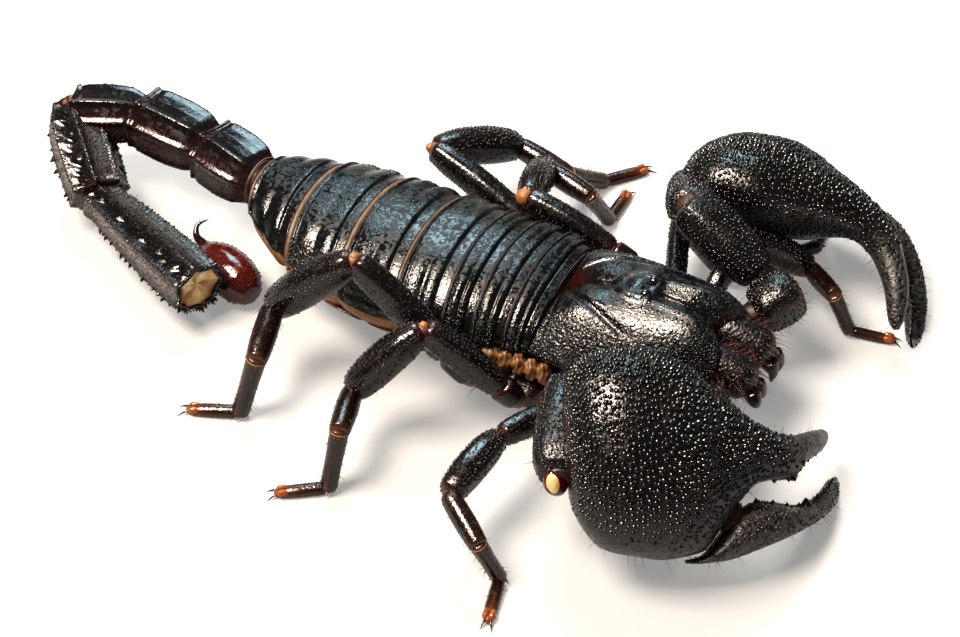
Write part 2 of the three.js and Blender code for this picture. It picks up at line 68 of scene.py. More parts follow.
# Head shield: where it starts and ends, its underside and its rim, then tables of share of its
# length against half width, and against the height of its crown.
SHIELD_REAR = 1.3
SHIELD_FRONT = 24.4
SHIELD_FLOOR = 9.9
SHIELD_EDGE = 10.6
SHIELD_HALF = [[0, 10.4], [0.25, 10.9], [0.6, 10.1], [0.85, 8.7], [1, 7.0]]
SHIELD_CROWN = [[0, 15.1], [0.2, 16.4], [0.5, 17.6], [0.8, 17.9], [1, 16.6]]
SHIELD_LENGTH = 23.0  # for distances over its surface
NOTCH = 3.2  # depth of the notch in its front
LOBE = 5.2  # half width of its front, out to where the corners round off
EYE = {"share": 0.5, "side": 1.3, "radius": 0.74}
HALF_AT_EYES = 10.3  # half width of the shield there, roughly

# Trunk: place along the body, half width, height of the back, height of the belly.
TRUNK = [
    [1.0, 10.3, 14.9, 9.7],
    [-2.6, 11.0, 15.9, 9.3],
    [-5.4, 11.3, 16.3, 8.6],
    [-7.6, 11.5, 16.5, 4.2],
    [-11.0, 11.8, 16.7, 3.2],
    [-18.0, 11.9, 16.6, 2.8],
    [-26.4, 11.6, 16.2, 2.9],
    [-35.4, 9.8, 15.2, 3.8],
    [-41.0, 7.3, 14.2, 5.6],
    [-44.3, 5.0, 13.6, 6.8],
]
FLANK = 9.6  # height of the trunk's widest line
TAIL_SIDE = 1.9  # how far the trunk has swung to the left where the tail begins
TRUNK_BOW = -1.4  # how far its middle bows to the right on the way
PLATE_EDGES = [1.0, -2.6, -6.9, -11.0, -18.0, -26.4, -35.4, -44.3]
HIND_BOW = 1.0  # how far the flanks of a plate's edges stand ahead of its middle
SEAMS = [-0.2, 0.3, 0.3, 0.3, 0.5, 0.72, 0.78, 0.5]  # skin left bare at each plate edge

# Tail lengths: length, azimuth, elevation, half width, half height.
TAIL_START = [-44.7, 1.9, 10.5]
TAIL = [
    [10.3, 166, 2, 4.8, 4.4],
    [11.6, 175, 3, 4.6, 4.4],
    [9.8, -160, -4, 4.1, 3.9],
    [14.0, -42, -19, 4.4, 4.1],
    [23.6, -23, 1, 4.1, 3.9],
]
TAIL_ROLL = math.radians(20)  # how far the last two lengths lean over
FORE_TAIL_ROLL = -0.55 * TAIL_ROLL  # and the first three, the other way
# The bulb: its middle, the way it points, its length and its greatest radius.
BULB = {"centre": [-44.3, -8.7, 3.25], "azimuth": 156, "elevation": 5, "length": 11.4, "radius": 3.2}
STING_REACH = 4.8

# Legs, front pair first: lengths of femur, patella, tibia, basitarsus and tarsus.
LEG_LENGTHS = [
    [13.3, 11.3, 7.0, 7.0, 6.1],
    [16.2, 11.0, 7.1, 7.2, 6.4],
    [16.8, 12.4, 7.4, 7.6, 6.5],
    [21.2, 14.6, 8.1, 8.5, 6.8],
]
LEG_GIRTH = [0.86, 0.92, 1.0, 1.08]
HEEL_HEIGHT = 0.7  # centre of the foot above the floor where the tarsus starts
TOE_HEIGHT = 0.4  # and where it ends
# Where each leg leaves the body, then azimuth and elevation of its five lengths.
LEGS = {
    "right": [
        ([16.4, -8.0, 5.6], [[-96, -2], [-8, -5], [110, 0], [56, -23], [-60, -7]]),
        ([10.5, -9.3, 6.0], [[-114, 12], [-97, -1], [-34, -13], [31, -68], [-76, -3]]),
        ([1.2, -13.2, 4.3], [[-156, 46], [-137, -42], [-73, 6], [-99, -68], [-147, -6]]),
        ([-4.8, -14.2, 6.5], [[-178, 41], [-162, -42], [-75, -9], [-128, -70], [-159, -7]]),
    ],
    "left": [
        ([16.4, 8.4, 5.2], [[84, 30], [31, -33], [-43, 11], [20, -67], [11, -7]]),
        ([12.6, 9.4, 5.2], [[110, 7], [-12, -29], [53, 4], [65, -18], [96, -7]]),
        ([5.7, 12.2, 8.2], [[177, 16], [103, -22], [-12, -6], [64, -58], [90, -10]]),
        ([-6.2, 12.3, 6.6], [[169, 17], [58, -22], [-6, -11], [65, -33], [51, -6]]),
    ],
}
# Where each pair of hips starts, beside the middle of the breast.
STERNUM = [[13, 2.5, 5.4], [8, 2.2, 5.2], [3, 1.8, 5.0], [-1, 1.8, 4.9]]

# Arms: hub of the trochanter, elbow, wrist and root of the fixed finger, then in degrees how far the
# fingers droop and how far they stand open.
ARMS = {
    "right": {
        "joints": [[25.8, -11.0, 11.0], [9.6, -16.0, 13.6], [14.8, -30.0, 12.8], [34.6, -15.0, 11.5]],
        "droop": 42,
        "opening": 3,
    },
    "left": {
        "joints": [[26.3, 12.1, 11.4], [11.5, 15.5, 18.3], [7.2, 30.4, 7.8], [31.2, 30.0, 11.1]],
        "droop": 58,
        "opening": 2,
    },
}
# Which way the back of the left hand faces, before it is set square to the hand.
CLAW_TILT = [0.32, 0.63, 0.7]
FIXED_FINGER = 14.5
MOVABLE_FINGER = 17.6

# Claw rings: share of the spine, outer edge, inner edge, rise to the back, fall to the palm.
HAND = [
    [0.03, -2.6, 8.5, 2.6, 2.2],
    [0.05, -5, 12, 4.4, 3.4],
    [0.11, -8.2, 14.4, 6.6, 4.6],
    [0.2, -9.4, 15.2, 7.8, 5.0],
    [0.3, -10.2, 14.6, 7.9, 5.0],
    [0.4, -9.8, 12.5, 6.8, 4.6],
    [0.46, -7.6, 10.2, 5.4, 4.0],
    [0.53, -4.4, 7.4, 4.2, 3.3],
    [0.6, -2.4, 4.9, 3.1, 2.6],
    [0.68, -2.2, 3.2, 2.5, 2.2],
    [0.73, -2.3, 2.7, 2.2, 2.0],
    [0.78, -0.9, 2.6, 2.0, 1.8],
    [0.88, -0.2, 2.7, 1.6, 1.5],
    [0.97, 0.8, 2.6, 1.0, 1.0],
    [1.0, 1.4, 2.2, 0.4, 0.4],
]
FINGER = [
    [0.33, -10.9, -10.5, 0.6, 0.6],
    [0.37, -11.1, -10.3, 1.3, 1.2],
    [0.43, -11.1, -8.0, 2.3, 2.0],
    [0.49, -10.7, -5.4, 2.6, 2.2],
    [0.54, -10.2, -4.6, 2.6, 2.2],
    [0.6, -9.6, -5.1, 2.5, 2.2],
    [0.68, -8.9, -5.9, 2.2, 2.0],
    [0.75, -8.3, -6.1, 2.0, 1.8],
    [0.83, -7.6, -5.4, 1.7, 1.6],
    [0.9, -6.9, -4.9, 1.4, 1.3],
    [0.97, -5.9, -4.3, 0.9, 0.9],
    [1.0, -5.1, -4.4, 0.3, 0.3],
]

# The frame's own origin is the middle of the footprint; the shield tells where the animal's is.
shield_low, shield_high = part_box("carapace")
SHIFT = np.array([shield_low[0] / MM - SHIELD_REAR, (shield_low[1] + shield_high[1]) / 2 / MM, 0.0])

# ---------------------------------------------------------------- places and directions


def unit(vector):
    vector = np.asarray(vector, float)
    return vector / np.maximum(np.linalg.norm(vector, axis=-1, keepdims=True), 1e-9)


def heading(azimuth, elevation):
    """The direction of an azimuth and an elevation, in degrees."""
    a, e = math.radians(azimuth), math.radians(elevation)
    return np.array([math.cos(e) * math.cos(a), math.cos(e) * math.sin(a), math.sin(e)])


def walk(start, steps):
    """The joints that a chain of length, azimuth, elevation steps passes through."""
    joints = [np.array(start, float)]
    for length, azimuth, elevation in steps:
        joints.append(joints[-1] + length * heading(azimuth, elevation))
    return joints


def profile(table, places):
    """Smooth readings of a table's columns at these places, without overshoot between rows."""
    table = np.asarray(table, float)
    table = table[np.argsort(table[:, 0])]
    x, y = table[:, 0], table[:, 1:]
    slope = np.diff(y, axis=0) / np.diff(x)[:, None]
    total = slope[:-1] + slope[1:]
    agree = slope[:-1] * slope[1:] > 0
    inner = np.where(agree, 2 * slope[:-1] * slope[1:] / np.where(agree, total, 1), 0)
    tangent = np.concatenate([slope[:1], inner, slope[-1:]])
    places = np.clip(places, x[0], x[-1])
    i = np.clip(np.searchsorted(x, places) - 1, 0, len(x) - 2)
    step = (x[i + 1] - x[i])[:, None]
    t = ((places - x[i])[:, None]) / step
    return (
        y[i] * (1 + 2 * t) * (1 - t) ** 2
        + y[i + 1] * t**2 * (3 - 2 * t)
        + step * tangent[i] * t * (1 - t) ** 2
        + step * tangent[i + 1] * t**2 * (t - 1)
    )


def run_along(points):
    """How far along a line of points each of them lies."""
    return np.concatenate([[0], np.cumsum(np.linalg.norm(np.diff(points, axis=0), axis=1))])


def circle(count):
    """The angles of places spaced evenly round a ring."""
    return np.linspace(0, 2 * math.pi, count, endpoint=False)


def eased(count):
    """Shares from 0 to 1 that crowd together at both ends."""
    return (1 - np.cos(np.pi * np.linspace(0, 1, count))) / 2


def curve_through(points, count):
    """Points evenly spaced along a rounded curve through these ones."""
    points = np.asarray(points, float)
    knots = np.concatenate([[0], np.cumsum(np.linalg.norm(np.diff(points, axis=0), axis=1) ** 0.5)])
    padded = np.concatenate([[2 * points[0] - points[1]], points, [2 * points[-1] - points[-2]]])
    times = np.concatenate([[knots[0] - knots[1]], knots, [2 * knots[-1] - knots[-2]]])
    dense = []
    for k in range(1, len(points)):
        a, b, c, d = padded[k - 1 : k + 3]
        ta, tb, tc, td = times[k - 1 : k + 3]
        leave = (b - a) / (tb - ta) - (c - a) / (tc - ta) + (c - b) / (tc - tb)
        arrive = (c - b) / (tc - tb) - (d - b) / (td - tb) + (d - c) / (td - tc)
        t = np.linspace(0, 1, 60, endpoint=k == len(points) - 1)[:, None]
        dense.append(
            b * (1 + 2 * t) * (1 - t) ** 2
            + c * t**2 * (3 - 2 * t)
            + (tc - tb) * leave * t * (1 - t) ** 2
            + (tc - tb) * arrive * t**2 * (t - 1)
        )
    dense = np.concatenate(dense)
    run = run_along(dense)
    even = np.linspace(0, run[-1], count)
    return np.stack([np.interp(even, run, dense[:, i]) for i in range(dense.shape[1])], axis=1)


def bell(distance, width):
    """One where the distance is nothing, fading smoothly out over this width."""
    return np.exp(-((distance / width) ** 2))


def between(values, low, high):
    return (values > low) & (values < high)


def signed_power(value, power):
    return np.sign(value) * np.abs(value) ** power


# ---------------------------------------------------------------- shapes as grids of points

# A shape is a dictionary: its points, its faces of four and of three corners, and its marks, the
# painted values that the finishes read. thin marks where the cuticle runs thin and red, grain where
# it is rough with granules, crease where it is darkened, which is painted shade in furrows, folds,
# under plates and between parts and the own dark of claws, teeth and granules, and worn where it
# is matt and pitted, which on the tail's lower faces is also a pale painted reflection of the floor.
MARKS = ("thin", "grain", "crease", "worn")


def shape(points, quads=(), triangles=(), **marks):
    points = np.asarray(points, float).reshape(-1, 3)
    filled = {name: np.zeros(len(points)) + np.ravel(marks.get(name, 0.0)) for name in MARKS}
    return {
        "points": points,
        "quads": np.asarray(quads, int).reshape(-1, 4),
        "triangles": np.asarray(triangles, int).reshape(-1, 3),
        "marks": filled,
    }


def merged(shapes):
    starts = np.cumsum([0] + [len(s["points"]) for s in shapes])
    return {
        "points": np.concatenate([s["points"] for s in shapes]),
        "quads": np.concatenate([s["quads"] + k for s, k in zip(shapes, starts)]),
        "triangles": np.concatenate([s["triangles"] + k for s, k in zip(shapes, starts)]),
        "marks": {name: np.concatenate([s["marks"][name] for s in shapes]) for name in MARKS},
    }


def closed_skin(grid, **marks):
    """A closed shape from rows of points that run round it, the first and last rows fanned shut."""
    rows, columns = grid.shape[:2]
    index = np.arange(rows * columns).reshape(rows, columns)
    after = np.roll(index, -1, axis=1)
    quads = np.stack([index[:-1], after[:-1], after[1:], index[1:]], axis=-1).reshape(-1, 4)
    first, last = rows * columns, rows * columns + 1
    fans = [
        np.stack([after[0], index[0], np.full(columns, first)], axis=-1),
        np.stack([index[-1], after[-1], np.full(columns, last)], axis=-1),
    ]
    ends = np.stack([grid[0].mean(axis=0), grid[-1].mean(axis=0)])
    points = np.concatenate([grid.reshape(-1, 3), ends])
    triangles = np.concatenate(fans)
    a, b, c, d = (points[quads[:, k]] for k in range(4))
    volume = (a * np.cross(b, c)).sum() + (a * np.cross(c, d)).sum()
    if volume < 0:
        quads, triangles = quads[:, ::-1], triangles[:, ::-1]
    spread = {}
    for name, value in marks.items():
        value = np.broadcast_to(value, (rows, columns))
        spread[name] = np.concatenate([value.ravel(), [value[0].mean(), value[-1].mean()]])
    return shape(points, quads, triangles, **spread)


def closed_ring(grid, **marks):
    """A ring-shaped piece from rows of points that run round it, its last row joined to its first."""
    index = np.arange(grid.shape[0] * grid.shape[1]).reshape(grid.shape[:2])
    down, right = np.roll(index, -1, axis=0), np.roll(index, -1, axis=1)
    corner = np.roll(down, -1, axis=1)
    return shape(grid, np.stack([index, down, corner, right], axis=-1), **marks)


def outward(grid):
    """The outward direction at each point of a grid whose rows run round a body."""
    along = np.gradient(grid, axis=0)
    around = np.roll(grid, -1, axis=1) - np.roll(grid, 1, axis=1)
    normal = unit(np.cross(around, along))
    away = grid - grid.mean(axis=1, keepdims=True)
    return normal if (normal * away).sum() > 0 else -normal


def sample(grid, spots):
    """Values of a grid at fractional rows and columns; the columns wrap round."""
    rows, columns = grid.shape[:2]
    row = np.clip(spots[:, 0], 0, rows - 1.001)
    column = spots[:, 1] % columns
    r, c = row.astype(int), column.astype(int) % columns
    fr, fc = (row - r), (column - np.floor(column))
    if grid.ndim == 3:
        fr, fc = fr[:, None], fc[:, None]
    c2 = (c + 1) % columns
    return (grid[r, c] * (1 - fc) + grid[r, c2] * fc) * (1 - fr) + (
        grid[r + 1, c] * (1 - fc) + grid[r + 1, c2] * fc
    ) * fr


def standing_on(grid, spots):
    """The places of these spots on a grid, and the outward direction at each."""
    return sample(grid, spots), unit(sample(outward(grid), spots))


def scatter(grid, spacing, jitter=0.3):
    """Fractional rows and columns of spots in staggered rows about this far apart."""
    rows, columns = grid.shape[:2]
    steps = np.linalg.norm(np.diff(grid, axis=0), axis=2).max(axis=1)
    run = np.concatenate([[0], np.cumsum(steps)])
    spots = []
    for distance in np.arange(spacing / 2, run[-1], spacing * 0.87):
        row = np.interp(distance, run, np.arange(rows))
        ring = grid[min(int(row + 0.5), rows - 1)]
        lengths = np.linalg.norm(np.roll(ring, -1, axis=0) - ring, axis=1)
        round_it = np.concatenate([[0], np.cumsum(lengths)])
        count = int(round_it[-1] / spacing)
        if count < 3:
            continue
        places = (np.arange(count) + rng.uniform() + rng.uniform(-jitter, jitter, count)) / count
        column = np.interp((places % 1) * round_it[-1], round_it, np.arange(columns + 1))
        drift = rng.uniform(-jitter, jitter, count) * spacing * rows / run[-1]
        spots.append(np.stack([row + drift, column], axis=1))
    return np.concatenate(spots) if spots else np.zeros((0, 2))


def domes(centres, normals, radii, heights, corners=6, **marks):
    """Low rounded grains standing on a surface, slightly sunk into it."""
    count = len(centres)
    if count == 0:
        return shape(np.zeros((0, 3)))
    side = unit(np.cross(normals, unit(np.array([0.31, 0.57, 0.76]) + 0 * normals)))
    other = np.cross(normals, side)
    turn = rng.uniform(0, 2 * math.pi, count)[:, None] + np.arange(corners) * 2 * math.pi / corners
    spread = np.cos(turn)[..., None] * side[:, None] + np.sin(turn)[..., None] * other[:, None]
    radii, heights = np.broadcast_to(radii, count), np.broadcast_to(heights, count)
    rings = []
    for reach, rise in ((1.0, -0.25), (0.72, 0.66)):
        rings.append(
            centres[:, None]
            + spread * (radii * reach)[:, None, None]
            + (normals * (heights * rise)[:, None])[:, None]
        )
    top = (centres + normals * heights[:, None])[:, None]
    points = np.concatenate([*rings, top], axis=1)
    size = 2 * corners + 1
    base = np.arange(corners)
    nxt = (base + 1) % corners
    quads = np.stack([base, nxt, nxt + corners, base + corners], axis=-1)
    caps = np.stack([base + corners, nxt + corners, np.full(corners, 2 * corners)], axis=-1)
    starts = (np.arange(count) * size)[:, None, None]
    spread_marks = {name: np.repeat(np.broadcast_to(v, count), size) for name, v in marks.items()}
    return shape(points, quads[None] + starts, caps[None] + starts, **spread_marks)


def field_grains(grid, field, spacing, radius, height):
    """Granules wherever a painted field of a grid is strong, larger where it is stronger."""
    faintest = 0.35
    spots = scatter(grid, spacing, jitter=0.42)
    strength = sample(field, spots)
    keep = strength > rng.uniform(faintest, 1, len(spots))
    spots, strength = spots[keep], strength[keep]
    scale = (0.55 + 0.45 * strength) * rng.uniform(0.75, 1.2, len(spots))
    return domes(*standing_on(grid, spots), radius * scale, height * scale)


def thorns(roots, directions, lengths, radii, corners=6, hook=None, **marks):
    """Pointed spines, teeth or claws; hook bends their tips that way, in shares of their length."""
    count = len(roots)
    if count == 0:
        return shape(np.zeros((0, 3)))
    directions = unit(directions)
    side = unit(np.cross(directions, np.array([0.31, 0.57, 0.76]) + 0 * directions))
    other = np.cross(directions, side)
    turn = np.arange(corners) * 2 * math.pi / corners
    spread = np.cos(turn)[None, :, None] * side[:, None] + np.sin(turn)[None, :, None] * other[:, None]
    lengths, radii = np.broadcast_to(lengths, count), np.broadcast_to(radii, count)
    hook = np.zeros(3) if hook is None else np.asarray(hook)
    levels = ((-0.1, 1.0), (0.3, 0.8), (0.6, 0.5), (0.85, 0.22))
    rings = []
    for share, girth in (*levels, (1.0, 0.0)):
        centre = roots + directions * (lengths * share)[:, None]
        centre = centre + hook * (lengths * max(share, 0) ** 2)[:, None]
        ring = centre[:, None] + spread * (radii * girth)[:, None, None]
        rings.append(ring if girth else centre[:, None])
    points = np.concatenate(rings, axis=1)
    size = len(levels) * corners + 1
    base = np.arange(corners)
    nxt = (base + 1) % corners
    quads = np.concatenate([
        np.stack([base, nxt, nxt + corners, base + corners], axis=-1) + k * corners
        for k in range(len(levels) - 1)
    ])
    top = (len(levels) - 1) * corners
    caps = np.stack([base + top, nxt + top, np.full(corners, size - 1)], axis=-1)
    starts = (np.arange(count) * size)[:, None, None]
    spread_marks = {name: np.repeat(np.broadcast_to(v, count), size) for name, v in marks.items()}
    return shape(points, quads[None] + starts, caps[None] + starts, **spread_marks)


def oval(angle):
    return np.cos(angle), np.sin(angle)


def boxy(angle):
    return signed_power(np.cos(angle), 0.75), signed_power(np.sin(angle), 0.75)


def level_frame(axis):
    """The side and up directions of a length, its side kept level."""
    side = unit(np.cross([0, 0, 1], axis))
    return side, np.cross(axis, side)


def barrel(start, end, rings, section=oval, around=30, along=44, lift=0.0, round_off=0.06):
    """Rows of points of one hard length between two joints. Rings are share, half width, half height."""
    start, end = np.asarray(start, float), np.asarray(end, float)
    share = eased(along)
    width, height = profile(rings, share).T
    near_end = np.minimum(share, 1 - share) / round_off
    closing = np.sqrt(np.clip(1 - (1 - np.clip(near_end, 0, 1)) ** 2, 0.0004, 1))
    side, up = level_frame(unit(end - start))
    across, rise = section(circle(around))
    middle = start + share[:, None] * (end - start)
    middle = middle + (np.sin(np.pi * share) * lift)[:, None] * up
    return (
        middle[:, None]
        + (across[None] * (width * closing)[:, None])[..., None] * side
        + (rise[None] * (height * closing)[:, None])[..., None] * up
    )


def end_fade(grid, reach):
    """One at both ends of a length, fading out over this many millimetres."""
    run = run_along(grid.mean(axis=1))
    near = np.minimum(run, run[-1] - run)
    return np.exp(-near / reach)[:, None]


# ---------------------------------------------------------------- finishes


def linear(code):
    """An sRGB hex colour as the linear values that a finish works in."""
    parts = [int(code[i : i + 2], 16) / 255 for i in (1, 3, 5)]
    return [p / 12.92 if p <= 0.04045 else ((p + 0.055) / 1.055) ** 2.4 for p in parts] + [1.0]


def add(tree, kind, values=None, links=None, **settings):
    """Adds a node with its settings, the values of its sockets and what feeds them."""
    made = tree.nodes.new(kind)
    for name, value in settings.items():
        setattr(made, name, value)
    for socket, value in (values or {}).items():
        made.inputs[socket].default_value = value
    for socket, source in (links or {}).items():
        tree.links.new(source, made.inputs[socket])
    return made


def per_mm(size):
    """The scale of a pattern whose cells are this many millimetres across."""
    return 1 / (size * MM)


def new_finish(name):
    finish = bpy.data.materials.new(name)
    finish.use_nodes = True
    finish.node_tree.nodes.clear()
    return finish, finish.node_tree


def close_finish(tree, surface):
    add(tree, "ShaderNodeOutputMaterial", links={"Surface": surface})


def mark(tree, name):
    return add(tree, "ShaderNodeAttribute", attribute_name=name).outputs["Fac"]


def blended(tree, factor, low, high):
    """One colour where the factor is 0 and another where it is 1; each is a hex code or a socket."""
    made = add(tree, "ShaderNodeMix", data_type="RGBA", links={"Factor": factor})
    for socket, colour in (("A", low), ("B", high)):
        target = [s for s in made.inputs if s.name == socket and s.type == "RGBA"][0]
        if isinstance(colour, str):
            target.default_value = linear(colour)
        else:
            tree.links.new(colour, target)
    return [s for s in made.outputs if s.type == "RGBA"][0]


def cuticle(name, deep, bloom, red, grain_size=0.36, grain_depth=0.07, gloss=0.2, hammer=0.05,
            speckle_depth=0.03, pit=0.62, flaky=0.0, worn_and_sheen_colour="#403c3a"):
    """Chitin hardened in place, as glossy as lacquer over a slightly hammered ground. Wax leaves a
    grey bloom in patches, thin edges let red-brown through, and the granules break each highlight
    into sparks. Worn parts are grey and satin, with black pits between fine ridges; where their
    grey is pale it is a painted reflection of the floor. Creases darken towards black: painted
    shade in furrows and folds, and the own dark of claws and teeth. A flaky shell is a mosaic of
    polished and dull scales."""
    finish, tree = new_finish(name)
    where = add(tree, "ShaderNodeTexCoord").outputs["Object"]
    patches = add(tree, "ShaderNodeTexNoise", {"Scale": per_mm(2.4), "Detail": 6, "Roughness": 0.6},
                  {"Vector": where}).outputs["Fac"]
    flecks = add(tree, "ShaderNodeTexNoise", {"Scale": per_mm(0.75), "Detail": 4, "Distortion": 0.8},
                 {"Vector": where}).outputs["Fac"]
    speckle = add(tree, "ShaderNodeTexVoronoi", {"Scale": per_mm(0.24), "Randomness": 1.0}, {"Vector": where})
    mixed = add(tree, "ShaderNodeMath", links={0: patches, 1: flecks}, operation="ADD").outputs[0]
    dull = add(tree, "ShaderNodeMapRange", {"From Min": 1.01, "From Max": 1.12}, {"Value": mixed},
               interpolation_type="SMOOTHSTEP").outputs["Result"]
    cells = add(tree, "ShaderNodeTexVoronoi", {"Scale": per_mm(grain_size), "Randomness": 0.9},
                {"Vector": where}, feature="SMOOTH_F1").outputs["Distance"]
    scales = add(tree, "ShaderNodeTexVoronoi", {"Scale": per_mm(0.42), "Randomness": 1.0}, {"Vector": where})
    facing = add(tree, "ShaderNodeNewGeometry").outputs["True Normal"]
    lie = add(tree, "ShaderNodeSeparateXYZ", links={0: facing})
    flat_top = add(tree, "ShaderNodeMapRange", {"From Min": 0.86, "From Max": 0.96, "To Max": flaky},
                   {"Value": lie.outputs["Z"]}).outputs["Result"]
    dull_scales = add(tree, "ShaderNodeMapRange", {"From Min": 0.5, "From Max": 0.6},
                      {"Value": scales.outputs["Color"], "To Max": flat_top}).outputs["Result"]
    beads = add(tree, "ShaderNodeMapRange", {"From Min": 0.1, "From Max": 0.6, "To Min": 1, "To Max": 0},
                {"Value": cells}, interpolation_type="SMOOTHSTEP").outputs["Result"]
    relief = add(tree, "ShaderNodeMath", links={0: beads, 1: mark(tree, "grain")}, operation="MULTIPLY")
    pores = add(tree, "ShaderNodeTexVoronoi", {"Scale": per_mm(pit), "Randomness": 0.9}, {"Vector": where})
    net = add(tree, "ShaderNodeMapRange", {"From Min": 0.38, "From Max": 0.52},
              {"Value": pores.outputs["Distance"]}, interpolation_type="SMOOTHSTEP").outputs["Result"]
    worn = mark(tree, "worn")
    colour = blended(tree, dull, deep, bloom)
    colour = blended(tree, mark(tree, "thin"), colour, red)
    # Worn parts take the given grey with black pits; where that grey is pale it is a painted reflection of
    # the floor.
    colour = blended(tree, worn, colour, blended(tree, net, "#0a0808", worn_and_sheen_colour))
    # Creases darken to near black: painted shade in furrows, folds and between parts, and the own dark of
    # claws, teeth and granules.
    colour = blended(tree, mark(tree, "crease"), colour, "#060404")
    sheen = add(tree, "ShaderNodeMapRange", {"To Min": gloss, "To Max": gloss + 0.14}, {"Value": dull})
    # Worn parts, granules and dull scales each add to the roughness.
    rough = sheen.outputs["Result"]
    for share, cause in ((0.22, worn), (0.14, mark(tree, "grain")), (0.45, dull_scales)):
        rough = add(tree, "ShaderNodeMath", {1: share}, {0: cause, 2: rough},
                    operation="MULTIPLY_ADD").outputs[0]
    ground = add(tree, "ShaderNodeBump", {"Strength": 1.0, "Distance": hammer * MM}, {"Height": flecks})
    ground = add(tree, "ShaderNodeBump", {"Strength": 1.0, "Distance": speckle_depth * MM},
                 {"Height": speckle.outputs["Distance"], "Normal": ground.outputs[0]})
    beaded = add(tree, "ShaderNodeBump", {"Strength": 1.0, "Distance": grain_depth * MM},
                 {"Height": relief.outputs[0], "Normal": ground.outputs[0]})
    pitted = add(tree, "ShaderNodeMath", links={0: net, 1: worn}, operation="MULTIPLY").outputs[0]
    bump = add(tree, "ShaderNodeBump", {"Strength": 1.0, "Distance": 0.1 * MM},
               {"Height": pitted, "Normal": beaded.outputs[0]})
    shader = add(tree, "ShaderNodeBsdfPrincipled", {"IOR": 1.46},
                 {"Base Color": colour, "Roughness": rough, "Normal": bump.outputs[0]})
    close_finish(tree, shader.outputs[0])
    return finish


def joint_skin(name, pale, warm, dark):
    """The unhardened skin between plates: damp leather, wrinkled across, cream where it is
    stretched and orange-brown in the folds. Where it is marked creased it darkens, painted shade in
    its folds and under the plates. A little light goes into it."""
    finish, tree = new_finish(name)
    where = add(tree, "ShaderNodeTexCoord").outputs["Object"]
    cloud = add(tree, "ShaderNodeTexNoise", {"Scale": per_mm(1.8), "Detail": 5, "Roughness": 0.6},
                {"Vector": where}).outputs["Fac"]
    cloud = add(tree, "ShaderNodeMapRange", {"From Min": 0.36, "From Max": 0.66}, {"Value": cloud}).outputs[0]
    wrinkles = add(tree, "ShaderNodeTexNoise", {"Scale": per_mm(0.5), "Detail": 5, "Distortion": 1.6},
                   {"Vector": where}).outputs["Fac"]
    colour = blended(tree, cloud, pale, warm)
    colour = blended(tree, mark(tree, "thin"), colour, "#8e5a24")
    colour = blended(tree, mark(tree, "crease"), colour, dark)
    bump = add(tree, "ShaderNodeBump", {"Strength": 0.8, "Distance": 0.12 * MM}, {"Height": wrinkles})
    shader = add(tree, "ShaderNodeBsdfPrincipled",
                 {"IOR": 1.45, "Roughness": 0.42, "Subsurface Weight": 0.15, "Subsurface Scale": 0.6 * MM},
                 {"Base Color": colour, "Normal": bump.outputs[0]})
    close_finish(tree, shader.outputs[0])
    return finish


def lens():
    """The clear lens of an eye over black: as smooth as wet glass, one small highlight."""
    finish, tree = new_finish("eye lens")
    shader = add(tree, "ShaderNodeBsdfPrincipled",
                 {"Base Color": linear("#060608"), "Roughness": 0.05, "IOR": 1.5, "Coat Weight": 1.0})
    close_finish(tree, shader.outputs[0])
    return finish


def bristle_finish():
    """Bristles: stiff amber-brown cuticle whose tone varies in patches, redder on some, with a soft gloss."""
    finish, tree = new_finish("bristles")
    where = add(tree, "ShaderNodeTexCoord").outputs["Object"]
    tone = add(tree, "ShaderNodeTexNoise", {"Scale": per_mm(3.0)}, {"Vector": where}).outputs["Fac"]
    colour = blended(tree, tone, "#150905", "#4a1f0c")
    colour = blended(tree, mark(tree, "thin"), colour, "#7a3311")
    shader = add(tree, "ShaderNodeBsdfPrincipled", {"Roughness": 0.4, "IOR": 1.55}, {"Base Color": colour})
    close_finish(tree, shader.outputs[0])
    return finish


# The shells: the name and three colours, then the settings of relief and gloss in cuticle's order.
back_shell = cuticle("polished back plate", "#040506", "#090d10", "#35120a", 0.36, 0.06, 0.12, 0.05, 0.03,
                     flaky=1.0)
# On the tail the grey given for worn parts is a pale pinkish grey, a painted reflection of the floor on the
# lower faces.
tail_shell = cuticle("polished tail shell", "#060404", "#0d0a0a", "#2a0a07", 0.36, 0.05, 0.14, 0.03, 0.01,
                     pit=0.3, worn_and_sheen_colour="#867a74")
claw_shell = cuticle("granular claw shell", "#060505", "#0f0c0c", "#2e0e09", 0.36, 0.04, 0.14, 0.03, 0.02)
leg_shell = cuticle("leg shell", "#060404", "#0c0707", "#4f1a0d", 0.34, 0.04, 0.14, 0.02, 0.01)
foot_shell = cuticle("red-brown foot shell", "#080404", "#110706", "#8c4a1e", 0.34, 0.04, 0.16, 0.02, 0.02)
red_shell = cuticle("red-brown glossy shell", "#3c0c08", "#4a120c", "#120707", 0.5, 0.04, 0.1, 0.03, 0.0)
mouth_shell = cuticle("dark red mouth shell", "#050303", "#0a0504", "#1e0806", 0.4, 0.07, 0.2, 0.03, 0.03)
belly_shell = cuticle("thin belly plate", "#5a3a20", "#74502c", "#8f5f31", 0.8, 0.03, 0.32)
soft_skin = joint_skin("soft joint skin", "#655543", "#4d341e", "#100704")
vent_skin = joint_skin("pale vent skin", "#f8e6b6", "#cf9a55", "#4a1a0c")
lens_finish = lens()
bristles = bristle_finish()

# ---------------------------------------------------------------- making the pieces


